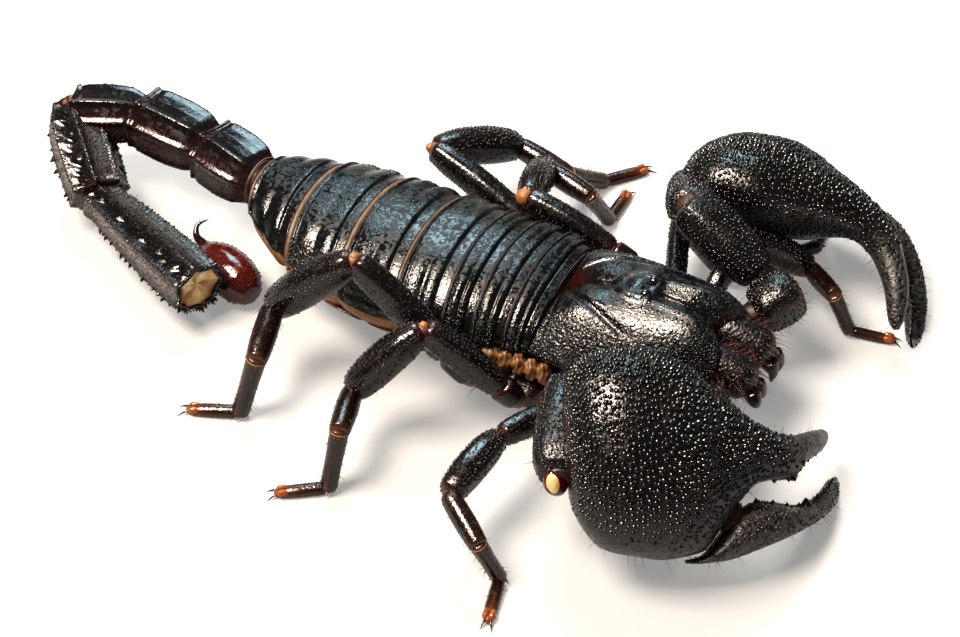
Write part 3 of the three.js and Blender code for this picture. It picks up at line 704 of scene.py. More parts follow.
def make(name, shapes, finish, replaced=()):
    whole = merged(shapes)
    points = (whole["points"] + SHIFT) * MM
    points[:, 2] = np.maximum(points[:, 2], 0)
    quads, triangles = whole["quads"], whole["triangles"]
    name = name.replace(" ", "_")
    mesh = bpy.data.meshes.new(name)
    mesh.vertices.add(len(points))
    mesh.vertices.foreach_set("co", points.ravel())
    mesh.loops.add(4 * len(quads) + 3 * len(triangles))
    corners = np.concatenate([quads.ravel(), triangles.ravel()])
    mesh.loops.foreach_set("vertex_index", corners.astype(np.int32))
    mesh.polygons.add(len(quads) + len(triangles))
    sizes = np.concatenate([np.full(len(quads), 4), np.full(len(triangles), 3)])
    starts = np.concatenate([[0], np.cumsum(sizes)[:-1]])
    mesh.polygons.foreach_set("loop_start", starts.astype(np.int32))
    mesh.update(calc_edges=True)
    mesh.polygons.foreach_set("use_smooth", np.ones(len(mesh.polygons), bool))
    for mark_name in MARKS:
        layer = mesh.attributes.new(mark_name, "FLOAT", "POINT")
        layer.data.foreach_set("value", np.clip(whole["marks"][mark_name], 0, 1))
    mesh.validate()
    mesh.materials.append(finish)
    piece = bpy.data.objects.new(name, mesh)
    bpy.context.scene.collection.objects.link(piece)
    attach(piece, "root")
    if replaced:
        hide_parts(*replaced)
    return piece


hair_roots = []


def bristle(grid, spacing, length, lean, share_range=(0, 1), angles=(0, 360), thickness=0.05, keep=1.0,
            red=0.0):
    """Notes bristles that will stand on a grid: spread about this far apart within these shares of
    its length and angles round it, leaning towards the far end by this much."""
    rows, columns = grid.shape[:2]
    spots = scatter(grid, spacing, jitter=0.45)
    along = spots[:, 0] / (rows - 1)
    angle = (spots[:, 1] / columns * 360) % 360
    low, high = angles
    inside = ((angle - low) % 360) <= ((high - low) if high - low < 360 else 360)
    chosen = inside & (along >= share_range[0]) & (along <= share_range[1])
    chosen &= rng.uniform(size=len(spots)) < keep
    spots = spots[chosen]
    if len(spots) == 0:
        return
    points, normals = standing_on(grid, spots)
    forward = unit(sample(np.gradient(grid, axis=0), spots))
    direction = unit(normals + lean * forward + rng.normal(0, 0.3, points.shape))
    lengths = length * rng.uniform(0.55, 1.25, len(points))
    place = np.stack([spots[:, 0] / rows, spots[:, 1] / columns], axis=1)
    hair_roots.append((points, direction, forward, lengths, thickness, place, red))


def bristle_shapes():
    """All the bristles as thin tapering three-sided horns, and the patch of the unwrap each sits on."""
    ceiling = cad_box[1][2] / MM + 0.45  # no hair stands higher than this above the floor
    floor = 0.15  # or hangs lower
    shapes, patches = [], []
    tiles = math.ceil(math.sqrt(len(hair_roots)))
    for k, (points, direction, forward, lengths, thickness, place, red) in enumerate(hair_roots):
        tips = points[:, 2] + direction[:, 2] * lengths
        room = np.where(tips > ceiling, (ceiling - points[:, 2]) / (tips - points[:, 2]), 1)
        room = np.where(tips < floor, (points[:, 2] - floor) / np.maximum(points[:, 2] - tips, 1e-6), room)
        lengths = lengths * np.clip(room, 0.15, 1)
        hook = 0.18 * forward.mean(axis=0) - np.array([0, 0, 0.05])
        shapes.append(thorns(points, direction, lengths, thickness, corners=3, hook=hook, thin=red))
        corner = np.array([k % tiles, k // tiles]) / tiles
        each = len(shapes[-1]["points"]) // len(points)
        patches.append(np.repeat(corner + place * 0.94 / tiles, each, axis=0))
    return shapes, np.concatenate(patches)


# ---------------------------------------------------------------- head shield


def shield_half(share):
    return profile(SHIELD_HALF, share)[:, 0]


def shield_front(across):
    y = np.abs(across) * SHIELD_HALF[-1][1]
    corner = 3.2 * np.clip((y - LOBE) / 2, 0, None) ** 2
    return SHIELD_FRONT - NOTCH * bell(y, 2.2) - corner


def shield_height(share, across):
    """Height of the shield's top and how deep in a furrow each point lies."""
    crown = profile(SHIELD_CROWN, share)[:, 0]
    y = across * shield_half(share)
    vault = SHIELD_EDGE + (crown - SHIELD_EDGE) * (1 - np.abs(across) ** 2.6)
    broad = (0.5 + 0.9 * np.abs(share - 0.5)) * bell(y, 1.5)
    hollow = 1.1 * bell(share, 0.14) * bell(y, 4)
    mound = 0.9 * bell(share - EYE["share"], 0.1) * bell(y, 2)
    line = bell(y, 0.26) * np.clip(np.abs(share - 0.5) * 12 - 1.2, 0, 1)
    # Two furrows run out from the hind hollow and forward along the flanks.
    arm = 1.9 + 4.6 * np.clip((share - 0.06) / 0.4, 0, 1) ** 0.7
    reach = np.clip((share - 0.04) * 12, 0, 1) * np.clip((0.56 - share) * 8, 0, 1)
    bowed = bell(np.abs(y) - arm, 0.5) * reach
    # A low ridge stands round the eyes and runs forward beside the middle furrow.
    ring = bell(np.hypot((share - EYE["share"]) * SHIELD_LENGTH * 0.7, np.abs(y) - 0.3) - 1.9, 0.4)
    brow = bell(np.abs(y) - 1.9 - 3 * (share - 0.6), 0.55) * np.clip((share - 0.55) * 9, 0, 1)
    border = bell(share - 0.04, 0.014) * np.clip(1.2 - bell(y, 3), 0, 1)
    furrow = 0.42 * line + 0.42 * bowed + 0.25 * border - 0.3 * ring - 0.2 * brow
    swell = 0.45 * bell(np.abs(y) - 5.2, 2.2) * bell(share - 0.2, 0.13)
    lobes = 0.4 * bell(np.abs(y) - 4.6, 2.4) * bell(share - 0.82, 0.16)
    return vault - broad - hollow + mound - furrow + swell + lobes, np.clip(line + bowed + border, 0, 1)


def head_shield():
    """The shield's arched shell, its granules and the small side eyes."""
    stations, lengthwise = 211, 190
    across = -np.cos(np.linspace(0, np.pi, stations)) * 0.995
    share = eased(lengthwise)
    grid, thin, grain, crease = [], [], [], []
    for side in across:
        height, furrow = shield_height(share, np.full_like(share, side))
        rim = np.minimum(share, 1 - share) * SHIELD_LENGTH
        height = SHIELD_FLOOR + (height - SHIELD_FLOOR) * (1 - 0.35 * np.exp(-rim / 0.35))
        x = SHIELD_REAR + share * (shield_front(side) - SHIELD_REAR)
        top = np.stack([x, side * shield_half(share), height], axis=1)
        under_share = share[::-6]
        under = np.stack([
            SHIELD_REAR + under_share * (shield_front(side) - SHIELD_REAR),
            side * shield_half(under_share) * 0.985,
            np.full_like(under_share, SHIELD_FLOOR),
        ], axis=1)
        grid.append(np.concatenate([top, under]))
        flank = np.clip((abs(side) - 0.42) / 0.3, 0, 1) + 0.5 * np.clip((share - 0.7) / 0.2, 0, 1)
        grain.append(np.concatenate([np.clip(0.12 + flank, 0, 1), np.zeros(len(under))]))
        edge = 0.7 * np.exp(-rim / 0.3) + 0.8 * bell(share, 0.12) * bell(side, 0.22)
        thin.append(np.concatenate([edge, np.ones(len(under))]))
        # Painted shade darkens the furrows.
        crease.append(np.concatenate([0.4 * furrow, np.zeros(len(under))]))
    grid, grain = np.array(grid), np.array(grain)
    shell = closed_skin(grid, thin=np.array(thin), grain=grain, crease=np.array(crease))
    beads = field_grains(grid, np.where(grid[..., 2] > SHIELD_FLOOR + 0.4, grain, 0), 0.44, 0.17, 0.12)
    # Three small side eyes on each front corner.
    spots, out = [], []
    for sign in SIDES.values():
        for k in range(3):
            share_k = np.array([0.955 - 0.045 * k])
            side = sign * 0.955
            z = shield_height(share_k, np.array([side]))[0][0]
            x = SHIELD_REAR + share_k[0] * (shield_front(side) - SHIELD_REAR)
            spots.append([x, side * shield_half(share_k)[0], z + 0.2])
            out.append([0.3, sign * 0.8, 0.5])
    return [shell, beads, domes(np.array(spots), unit(out), 0.36, 0.3, corners=12)]


make("head shield", head_shield(), back_shell, ["carapace"])


def ball(centre, radius):
    angle = circle(28)
    ring = np.stack([np.cos(angle), np.sin(angle), 0 * angle], axis=1)
    rows = [np.sin(t) * ring + np.cos(t) * np.array([0, 0, 1.0]) for t in np.linspace(0, math.pi, 20)]
    return np.asarray(centre, float) + radius * np.array(rows)


for side, sign in SIDES.items():
    share = np.array([EYE["share"]])
    top = shield_height(share, np.array([sign * EYE["side"] / HALF_AT_EYES]))[0][0]
    x = SHIELD_REAR + share[0] * (SHIELD_FRONT - SHIELD_REAR)
    centre = [x, sign * EYE["side"], top - 0.25]
    make(f"{side} eye", [closed_skin(ball(centre, EYE["radius"]))], lens_finish, [f"eye_{side}"])

# ---------------------------------------------------------------- trunk, back plates and belly


def trunk_point(x, angle, inset):
    """Points of the trunk's outline, as arrays. Angle 0 is the left flank, 90 degrees the back."""
    x = np.asarray(x, float)
    half, back, belly = profile(TRUNK, np.atleast_1d(x).ravel()).T
    half, back, belly = (value.reshape(np.shape(x)) for value in (half, back, belly))
    across, up = signed_power(np.cos(angle), 0.94), signed_power(np.sin(angle), 0.94)
    share = np.minimum(x, 0) / TAIL_START[0]
    swing = np.sin(np.pi * np.clip(share, 0, 1))
    middle = TAIL_SIDE * share**2 + TRUNK_BOW * swing
    height = np.where(up > 0, back - FLANK - inset, FLANK - belly - inset)
    bow = HIND_BOW * across**2 * np.abs(swing) ** 0.5
    return np.stack([x + bow, middle + across * (half - inset), FLANK + up * height], axis=-1)


def soft_trunk():
    """The skin of the trunk: sunk under the plates, full between them, pleated down the flanks, and
    darkened with painted shade under the plates and in the folds.
    """
    x, angle = np.meshgrid(np.linspace(TRUNK[0][0], TRUNK[-1][0], 320), circle(180), indexing="ij")
    reaches = [(x - edge) / (0.3 + 0.6 * seam) for edge, seam in zip(PLATE_EDGES, SEAMS)]
    seam = np.max([bell(reach, 1.0) for reach in reaches], axis=0)
    covered = np.sin(angle) > -0.02
    under_plate = PLATE + 0.35 - 1.05 * seam
    # Down the flanks each segment bulges, and the skin between them is drawn in and finely folded.
    segments = len(PLATE_EDGES) - 1
    fore = np.interp(x, PLATE_EDGES[::-1], np.linspace(0, 1, segments + 1) * segments)
    bulge = np.abs(np.sin(np.pi * fore)) ** 0.6
    around = np.abs((angle - np.pi / 2 + np.pi) % (2 * np.pi) - np.pi)
    side_zone = bell(around - 1.85, 0.42)
    front_half = np.clip((x + 16) / 8, 0, 1)
    folds = 0.1 * np.sin(around * 26 + 1.3 * np.sin(x * 1.7)) * (0.35 + 0.65 * front_half)
    fine = 0.05 * np.sin(x * 9 + 4 * np.sin(around * 9)) * front_half
    inset = np.where(covered, under_plate, 0.1 + side_zone * (0.55 * (1 - bulge) - folds - fine))
    grid = trunk_point(x, angle, inset)
    # Painted shade darkens the skin under the plates, wholly under the front ones, and between the flank
    # bulges and in their folds.
    shaded_under_plates = np.clip((x + 20) / 6, 0, 1) * covered
    fold_shade = side_zone * (0.3 * (1 - bulge) ** 2 + 0.12 - folds - fine)
    deep = np.where(covered, np.maximum(0.3 * (1 - seam), shaded_under_plates), fold_shade)
    orange = np.where(covered, 0.0, 0.75 - 0.35 * (1 - side_zone))
    return [closed_skin(grid, crease=np.clip(deep, 0, 1), thin=np.clip(orange, 0, 1))]


def back_plate(number):
    """An arched plate with a smooth front band, two low waves across it, and a raised rim behind."""
    front = PLATE_EDGES[number] - SEAMS[number] / 2
    hind = PLATE_EDGES[number + 1] + SEAMS[number + 1] / 2
    length = front - hind
    top_rows = 76
    share = np.concatenate([np.linspace(0, 1, top_rows), np.linspace(1, 0, 8)])
    outer = np.arange(len(share)) < top_rows
    band = 1.0 / length if length < 5 else 1.3 / length
    stations = 190
    angle = np.radians(2.5 + 175 * np.linspace(0, 1, stations))[:, None]
    flank = np.clip(np.abs(np.cos(angle)) * 1.7 - 0.25, 0.12, 1)
    step = 0.3 * (1 - np.clip((share - band) / 0.05, 0, 1)) + 0.12 * bell(share - band - 0.03, 0.035)
    waves = 0.17 * bell(share - band - 0.17, 0.09) + 0.22 * bell(share - 0.72, 0.13)
    trough = 0.16 * bell(share - 0.52, 0.06) + 0.2 * bell(share - 0.9, 0.02)
    rim = 0.1 * bell(share - 0.95, 0.025) - 0.4 * np.clip((share - 0.972) / 0.028, 0, 1) ** 2
    inset = step[None] - (waves - trough)[None] * flank - rim[None]
    low = np.degrees(np.arccos(np.abs(np.cos(angle))))
    inset = inset - 0.14 * bell(low - 8, 2.5) + 0.12 * bell(low - 14, 3)
    inset = inset - 0.06 * np.sin(7 * angle + 2.3 * number) * np.sin(np.pi * share)[None]
    inset = inset - 0.1 * bell(angle - np.pi / 2, 0.05) * (share > band)[None]
    inset = np.where(outer[None], inset, PLATE)
    x = (front - share * length)[None] + 0 * angle
    grid = trunk_point(x, angle + 0 * x, inset)
    field = (np.clip((share - band) / 0.06, 0, 1) * outer)[None]
    zone = np.clip((np.abs(np.cos(angle)) - 0.62) / 0.3, 0, 1)
    grain = np.clip(0.05 + zone, 0, 1) * field * (1 - 0.7 * (number == 6))
    thin = (0.75 * bell(share - 1, 0.03) + 0.25 * bell(share, 0.05) + ~outer)[None] + 0 * angle
    # A thin line of painted shade darkens the step behind the front band.
    crease = (0.2 * bell(share - band, 0.02) * outer)[None] + 0 * angle
    shell = closed_skin(grid, grain=grain, thin=np.clip(thin, 0, 1), crease=crease)
    beads = field_grains(grid, np.where(share[None] < 0.97, grain, 0), 0.42, 0.155, 0.11)
    # A row of fine beads stands along the hind rim.
    count = 110
    row = np.full(count, 0.955 * (top_rows - 1))
    line = np.stack([np.linspace(3, stations - 4, count), row], axis=1)
    return [shell, beads, domes(*standing_on(grid, line), 0.13, 0.11)]


# Cushions of the flank: place along the body and half length.
FOLDS = [
    [3.8, 0.9], [2.1, 1.0], [0.2, 1.1], [-1.8, 1.3],
    [-4.2, 1.7], [-7.2, 2.1], [-10.6, 2.3], [-14.2, 2.3],
]
FOLD_RINGS = [[0, 0.7, 0.9], [0.5, 1.15, 1.6], [1, 0.7, 0.9]]


def flank_folds():
    """Cushions of wrinkled skin that swell out under the edges of the front back plates."""
    count = 40
    share, angle = np.linspace(0, 1, count)[:, None], circle(count)[None]
    shapes = []
    for sign in SIDES.values():
        for place, half in FOLDS:
            start = trunk_point(place + half, 0.0, 0.5) * [1, 0, 1] + [0, sign * 11.0, -1.1]
            end = trunk_point(place - half, 0.0, 0.5) * [1, 0, 1] + [0, sign * 11.3, -1.3]
            grid = barrel(start, end, FOLD_RINGS, around=count, along=count, round_off=0.3)
            ripple = 0.09 * np.sin(5 * angle + 7 * share + place)
            ripple = ripple + 0.07 * np.sin(26 * share + 3 * np.sin(2 * angle))
            grid = grid + outward(grid) * ripple[..., None]
            # Painted shade darkens the troughs of the ripples; their crests are more orange.
            thin, crease = np.clip(0.35 + 2 * ripple, 0, 1), np.clip(-3 * ripple, 0, 1)
            shapes.append(closed_skin(grid, thin=thin, crease=crease))
    return shapes


make("soft trunk", soft_trunk() + flank_folds(), soft_skin, ["trunk"])
for number in range(len(PLATE_EDGES) - 1):
    make(f"back plate {number + 1}", back_plate(number), back_shell, [f"tergite_{number + 1}"])


def belly_plate(front, hind):
    """A thin flat plate of the underside, redder along its hind edge."""
    share = np.concatenate([np.linspace(0, 1, 20), np.linspace(1, 0, 6)])
    outer = np.arange(len(share)) < 20
    angle = np.radians(205 + 130 * np.linspace(0, 1, 60))[:, None]
    x = (front - 0.15 - share * (front - hind - 0.5))[None] + 0 * angle
    edge = 0.25 * (bell(share, 0.05) + bell(share - 1, 0.05))
    inset = np.where(outer, edge - 0.12, 0.3)[None] + 0 * angle
    thin = 0.5 * bell(share - 1, 0.1)[None] + 0 * angle
    return closed_skin(trunk_point(x, angle + 0 * x, inset), thin=thin)


BELLY_EDGES = [-9.5, -16.0, -22.6, -29.4, -36.4, -44.0]
belly = [belly_plate(*pair) for pair in zip(BELLY_EDGES, BELLY_EDGES[1:])]
make("belly plates", belly, belly_shell)

# ---------------------------------------------------------------- tail

tail_joints = walk(TAIL_START, [row[:3] for row in TAIL])
KEELS = [58, 122, 173, 7, 222, 318, 251, 289]  # degrees round a tail length, 90 at the top
SPINY_KEELS = (222, 318)  # these carry spines on the last two lengths
ROOF = 0.42  # half width of the roof in the table below

# The tail's section: a narrow roof with sloping sides, upright lower faces and a narrow keeled sole,
# as degrees round it, share of the half width and share of the half height.
TAIL_SECTION = [
    [7, 1.0, 0.26], [58, ROOF, 0.9], [90, 0.0, 0.84], [122, -ROOF, 0.9], [173, -1.0, 0.26],
    [222, -0.8, -0.74], [251, -0.32, -1.0], [289, 0.32, -1.0], [318, 0.8, -0.74], [367, 1.0, 0.26],
]


def off(degrees, place):
    """How far round a ring these lie from a place on it, the short way."""
    return (degrees - place + 180) % 360 - 180


def ridges(degrees, width):
    """One on each keel of a tail length, fading out over this many degrees."""
    return np.max([bell(off(degrees, keel), width) for keel in KEELS], axis=0)


def keeled(sharp, roll=0.0, roof=ROOF):
    """A tail section: faces drawn in between keels, rounder where it is less sharp, rolled over."""

    def section(angle):
        degrees = np.degrees(angle) % 360
        corner, across, rise = np.array(TAIL_SECTION).T
        roof_corners = rise > 0.85
        across = np.where(roof_corners, across * roof / ROOF, across)
        wrapped = np.where(degrees < corner[0], degrees + 360, degrees)
        x, z = np.interp(wrapped, corner, across), np.interp(wrapped, corner, rise)
        reach = 1.0 - 0.08 * sharp * (1 - ridges(degrees, 8))
        x = (x * sharp + np.cos(angle) * (1 - sharp)) * reach
        z = (z * sharp + np.sin(angle) * (1 - sharp)) * reach
        return x * math.cos(roll) + z * math.sin(roll), z * math.cos(roll) - x * math.sin(roll)

    return section


# Share of a length against its girth: the first four lengths, then the last.
TAIL_SWELL = [
    [[0, 0.62], [0.08, 0.74], [0.25, 0.93], [0.55, 1.0], [0.82, 0.98], [0.9, 0.93], [0.955, 0.97], [1, 0.9]],
    [[0, 0.66], [0.05, 0.76], [0.12, 0.72], [0.3, 0.82], [0.6, 0.94], [0.85, 1.0], [1, 0.99]],
]


TAIL_AROUND, TAIL_ALONG = 144, 110  # points round and along a length
TAIL_STEP = 360 / TAIL_AROUND


def open_lip(grid, end, axis):
    """Turns the wall of an open length in at its lip and runs it back inside, for a hollow end."""
    lip = 98
    rim = grid[lip] - grid[lip].mean(axis=0)
    t = np.linspace(0, 1, TAIL_ALONG - lip)
    depth = np.interp(t, [0, 0.2, 0.35, 1], [0.5, 0.05, 0.1, 2.2])
    inset = np.interp(t, [0, 0.2, 0.35, 1], [1.0, 0.96, 0.88, 0.8])
    grid[lip:] = end - depth[:, None, None] * axis + inset[:, None, None] * rim


def tail_length(i):
    """One length of the tail with its keels, beads and spines. The last two are rougher."""
    length, _, _, width, height = TAIL[i]
    rough, last = i >= 3, i == 4
    rings = [[share, width * s, height * s] for share, s in TAIL_SWELL[last]]
    start, end = tail_joints[i], tail_joints[i + 1]
    axis = unit(end - start)
    tuck = [0.2, 0.9, 0.9, 1.9, 0.9][i]
    section = keeled(0.9, TAIL_ROLL) if rough else keeled(0.75, FORE_TAIL_ROLL, 0.62)
    grid = barrel(start - tuck * axis, end - 0.1 * axis, rings, section=section, around=TAIL_AROUND,
                  along=TAIL_ALONG, round_off=0.03)
    degrees = np.arange(TAIL_AROUND) * TAIL_STEP
    run = np.linspace(0, 1, TAIL_ALONG)[:, None]
    middle = np.sin(np.pi * run)
    if rough:
        # The side faces are hollowed between their keels, and lumpy.
        hollow = (bell(degrees - 147, 15) + bell(degrees - 33, 15))[None] * middle**0.5
        lumps = np.sin(9 * run * (3 + i) + 0.06 * degrees) * np.sin(0.11 * degrees + 17 * run)
        sink = hollow * ((0.22 if last else 0.12) + 0.24 * lumps)
        grid = grid - outward(grid) * sink[..., None]
    if last:
        open_lip(grid, end, axis)
    top_face = bell(degrees - 90, 26)[None] * middle**0.5 * rough
    grain = np.clip(0.9 * ridges(degrees, 9)[None] * (1.0 if rough else 0.3) + 0.6 * top_face, 0, 1)
    cheek = np.maximum(bell(degrees % 180, 34), bell(degrees % 180 - 180, 34))[None]
    redness = 0.05 if rough else 0.8
    thin = np.clip(0.8 * end_fade(grid, 0.8) + redness * cheek * middle, 0, 1)
    # The lower faces are marked worn in a pale grey that is a painted reflection of the floor.
    floor_reflection_faces = (bell(degrees - 197, 15) + bell(degrees - 343, 15))[None] * middle**0.5
    worn = np.maximum(0.16 * top_face, floor_reflection_faces * (0.7 if rough else 0.2))
    shapes = [closed_skin(grid, thin=thin, grain=grain, worn=worn, crease=0.3 * end_fade(grid, 0.3))]
    for keel in KEELS:
        # Blunt beads along the upper keels; the lower outer keels carry longer, wider set spines.
        spiny = keel in SPINY_KEELS and rough
        spine_length = 0.5 if spiny else [0.07, 0.08, 0.12, 0.22, 0.25][i]
        count = int(length * 0.86 / (1.15 if spiny else 0.6))
        rows = 0.12 + 0.84 * (np.arange(count) + rng.uniform(0.1, 0.9, count)) / count
        rows = np.interp(rows, eased(TAIL_ALONG), np.arange(TAIL_ALONG))
        columns = keel / TAIL_STEP + rng.normal(0, 0.5, count)
        roots, normals = standing_on(grid, np.stack([rows, columns], axis=1))
        size = spine_length * (rng.uniform(0.25, 1.6, count) if spiny else rng.uniform(0.6, 1.3, count))
        shapes.append(thorns(roots, normals + 0.35 * axis, size, 0.12 + 0.3 * size, thin=0.1))
    # Loose granules on the faces, denser on the last two lengths.
    spots = scatter(grid, [1.5, 1.4, 1.2, 0.75, 0.8][i])
    face = (np.abs(off(spots[:, 1] * TAIL_STEP, 90)) > 34) & between(spots[:, 0], 14, 100)
    spots = spots[face & (rng.uniform(size=len(spots)) < 0.75)]
    shapes.append(domes(*standing_on(grid, spots), 0.13, 0.1))
    bristle(grid, 3.0 if rough else 4.0, 1.3, 0.3, keep=0.5, thickness=0.035)
    return shapes


for i in range(len(TAIL)):
    make(f"tail length {i + 1}", tail_length(i), tail_shell, [f"metasoma_{i + 1}"])

# The last length ends in an open collar with a pale skin drawn across it.
tail_end = tail_joints[5]
tail_axis = unit(tail_joints[5] - tail_joints[4])
width, height = TAIL[4][3], TAIL[4][4]


def ring_points(centre, axis, half_width, half_height, angles):
    """Points round a section of the tail's last length."""
    side, up = level_frame(axis)
    across, rise = keeled(0.8, TAIL_ROLL)(angles)
    return centre + np.outer(across * half_width, side) + np.outer(rise * half_height, up)


def hoop(centre, axis, radius, thickness, **marks):
    """A rounded rim that stands round an axis."""
    turn, loop = circle(60), circle(12)
    side, up = level_frame(axis)
    spokes = np.outer(np.cos(turn), side) + np.outer(np.sin(turn), up)
    grid = centre + spokes[None] * (radius + thickness * np.cos(loop))[:, None, None]
    return closed_ring(grid + (thickness * np.sin(loop))[:, None, None] * axis, **marks)


def tail_collar():
    """The thick granular lip round the open end of the tail, with a row of torn points."""
    rows = []
    for turn in circle(14):
        out = 0.9 - 0.075 + 0.075 * math.cos(turn)
        rows.append(ring_points(tail_end + tail_axis * (-0.25 + 0.42 * math.sin(turn)), tail_axis,
                                width * out, height * out, circle(96)))
    lip = closed_ring(np.array(rows), thin=0.55)
    count = 46
    beads_at = ring_points(tail_end + tail_axis * 0.1, tail_axis, width * 0.93, height * 0.93, circle(count))
    out = unit(beads_at - tail_end + 1.4 * tail_axis)
    torn = rng.uniform(0.15, 0.7, count)
    return [lip, thorns(beads_at, out, torn, 0.12 + 0.3 * torn, crease=0.3)]


make("tail collar", tail_collar(), tail_shell)


def tail_mouth():
    """The pale skin inside the collar, drawn into folds round the vent."""
    angles, levels = circle(96), np.linspace(1, 0.02, 26)
    centre = tail_end - tail_axis * 0.05
    rows = [ring_points(tail_end - tail_axis * 1.6, tail_axis, width * 0.5, height * 0.5, angles)]
    for share in levels:
        folds = np.sin(angles * 3 + 3 * share + 0.6) + 0.5 * np.sin(angles * 7 - 2 * share)
        dent = 0.75 * (1 - share**2) + 0.5 * folds * share * (1 - share)
        ring = ring_points(centre, tail_axis, width * 0.86 * share, height * 0.86 * share, angles)
        rows.append(ring - np.outer(dent, tail_axis))
    share = np.concatenate([[1], levels])[:, None] + 0 * angles
    folds = np.sin(angles * 3 + 3 * share + 0.6)
    thin = np.clip(0.9 * bell(share - 0.95, 0.2) + 0.5 * folds * (share < 0.9), 0, 1)
    # Painted shade darkens the folds, more deeply towards the vent.
    return closed_skin(np.array(rows), thin=thin, crease=np.clip(0.35 * folds * (1 - share), 0, 1))


BULB_GIRTH = [
    [0, 0.42], [0.08, 0.66], [0.22, 0.92], [0.42, 1], [0.62, 0.92], [0.8, 0.68], [0.93, 0.38], [1, 0.26],
]
bulb_along = heading(BULB["azimuth"], BULB["elevation"])
bulb_start, bulb_end = (np.array(BULB["centre"]) + bulb_along * BULB["length"] * s for s in (-0.5, 0.5))


def bulb():
    """The swollen venom bulb, just clear of the floor, with fine dark granules."""
    rings = [[place, g * BULB["radius"], g * BULB["radius"]] for place, g in BULB_GIRTH]
    grid = barrel(bulb_start, bulb_end, rings, around=72, along=80, round_off=0.03)
    grid[..., 2] = np.maximum(grid[..., 2], 0.12)
    spots = scatter(grid, 0.85)
    spots = spots[between(spots[:, 0], 6, 66)]
    grains = domes(*standing_on(grid, spots), 0.13, 0.12, crease=0.7)
    return [closed_skin(grid, thin=0.6 * end_fade(grid, 1.2)), grains]


make("venom bulb", bulb(), red_shell, ["telson_vesicle"])


def tube(points, radii, around=20, **marks):
    """A closed tube along a curve, with its girth read from a list spread evenly along it."""
    points = np.asarray(points, float)
    count = len(points)
    tangent = unit(np.gradient(points, axis=0))
    side = unit(np.cross(tangent, [0.13, 0.21, 0.97]))
    up = np.cross(tangent, side)
    radius = np.interp(np.linspace(0, 1, count), np.linspace(0, 1, len(radii)), radii)
    angle = circle(around)
    grid = points[:, None] + radius[:, None, None] * (
        np.cos(angle)[None, :, None] * side[:, None] + np.sin(angle)[None, :, None] * up[:, None]
    )
    return closed_skin(grid, **marks)


def sting():
    """The hooked tip that the bulb draws out into."""
    azimuth = BULB["azimuth"]
    joints = walk(bulb_end - 0.3 * bulb_along, [
        [0.45 * STING_REACH + 0.3, azimuth - 5, 5],
        [0.3 * STING_REACH, azimuth - 45, 35],
        [0.35 * STING_REACH, azimuth - 110, 20],
    ])
    path = curve_through(joints, 40)
    shade = np.linspace(0.9, 0, 40)[:, None] ** 2
    return tube(path, [0.8, 0.66, 0.5, 0.36, 0.22, 0.05], thin=shade)


make("sting", [sting()], tail_shell, ["telson_aculeus"])

# ---------------------------------------------------------------- legs

LEG_RINGS = {
    "trochanter": [[0, 1.25, 1.35], [0.3, 1.55, 1.75], [0.75, 1.65, 1.85], [1, 1.35, 1.55]],
    "femur": [
        [0, 1.15, 1.4], [0.1, 1.45, 1.8], [0.45, 1.55, 2.1], [0.8, 1.5, 1.9], [0.94, 1.3, 1.6], [1, 1.1, 1.3],
    ],
    "patella": [
        [0, 1.0, 1.1], [0.1, 1.5, 1.7], [0.35, 1.95, 2.3], [0.6, 2.0, 2.4], [0.85, 1.8, 2.1], [1, 1.4, 1.6],
    ],
    "tibia": [[0, 1.0, 1.1], [0.15, 1.4, 1.5], [0.5, 1.5, 1.6], [0.85, 1.38, 1.45], [1, 1.24, 1.3]],
    "basitarsus": [[0, 1.12, 1.14], [0.15, 1.2, 1.2], [0.6, 1.1, 1.1], [0.88, 1.12, 1.12], [1, 0.98, 0.98]],
    "tarsus": [[0, 0.72, 0.72], [0.2, 0.86, 0.86], [0.6, 0.9, 0.84], [0.85, 0.8, 0.66], [1, 0.4, 0.4]],
    "toe lobe": [[0, 0.3, 0.4], [0.6, 0.42, 0.52], [1, 0.3, 0.34]],
}
LEG_AROUND, LEG_ALONG = 40, 56  # points round and along each length of a leg
skin_shapes = []


def sleeve(joint, before, after, radius, reach=1.0, **marks):
    """A bulging cuff of soft skin that runs round a joint from one hard length into the next."""
    path = curve_through([joint - before * reach, joint - before * 0.35 * reach, joint + after * 0.35 * reach,
                          joint + after * reach], 14)
    skin_shapes.append(tube(path, [radius * r for r in (0.72, 0.95, 1.0, 0.95, 0.72)], around=22, **marks))


def toe_parts(joints, axes, girth, toe_length):
    """Two rounded lobes at the toe, spurs at the ankle and short thick spines under the tarsus."""
    forward = unit(axes[4] * [1, 1, 0])
    across = np.array([-forward[1], forward[0], 0])
    shapes = []
    for s in (-1, 1):
        lobe = joints[5] - 0.75 * axes[4] + across * s * 0.42 * girth + np.array([0, 0, 0.35])
        grid = barrel(lobe - 0.9 * axes[4], lobe + 0.75 * axes[4], LEG_RINGS["toe lobe"],
                      around=20, along=20, round_off=0.3)
        shapes.append(closed_skin(grid, thin=0.85))
    ankle = joints[4] + np.array([0, 0, 0.1])
    roots = np.array([ankle + across * 0.7 * girth * s for s in (-1, 1)])
    ways = np.array([across * s * 0.9 + 0.9 * forward + [0, 0, -0.15] for s in (-1, 1)])
    shapes.append(thorns(roots, ways, 0.95 * girth, 0.2, thin=0.5))
    under = np.array([joints[4] + axes[4] * toe_length * t + across * s * 0.66 * girth
                      for t in np.linspace(0.18, 0.85, 7) for s in (-1, 1)])
    under[:, 2] = 0.42
    ways = np.array([across * s * 0.8 + 0.7 * forward + [0, 0, -0.2] for _ in range(7) for s in (-1, 1)])
    shapes.append(thorns(under, ways, 0.5 * girth, 0.11, thin=0.2))
    return shapes


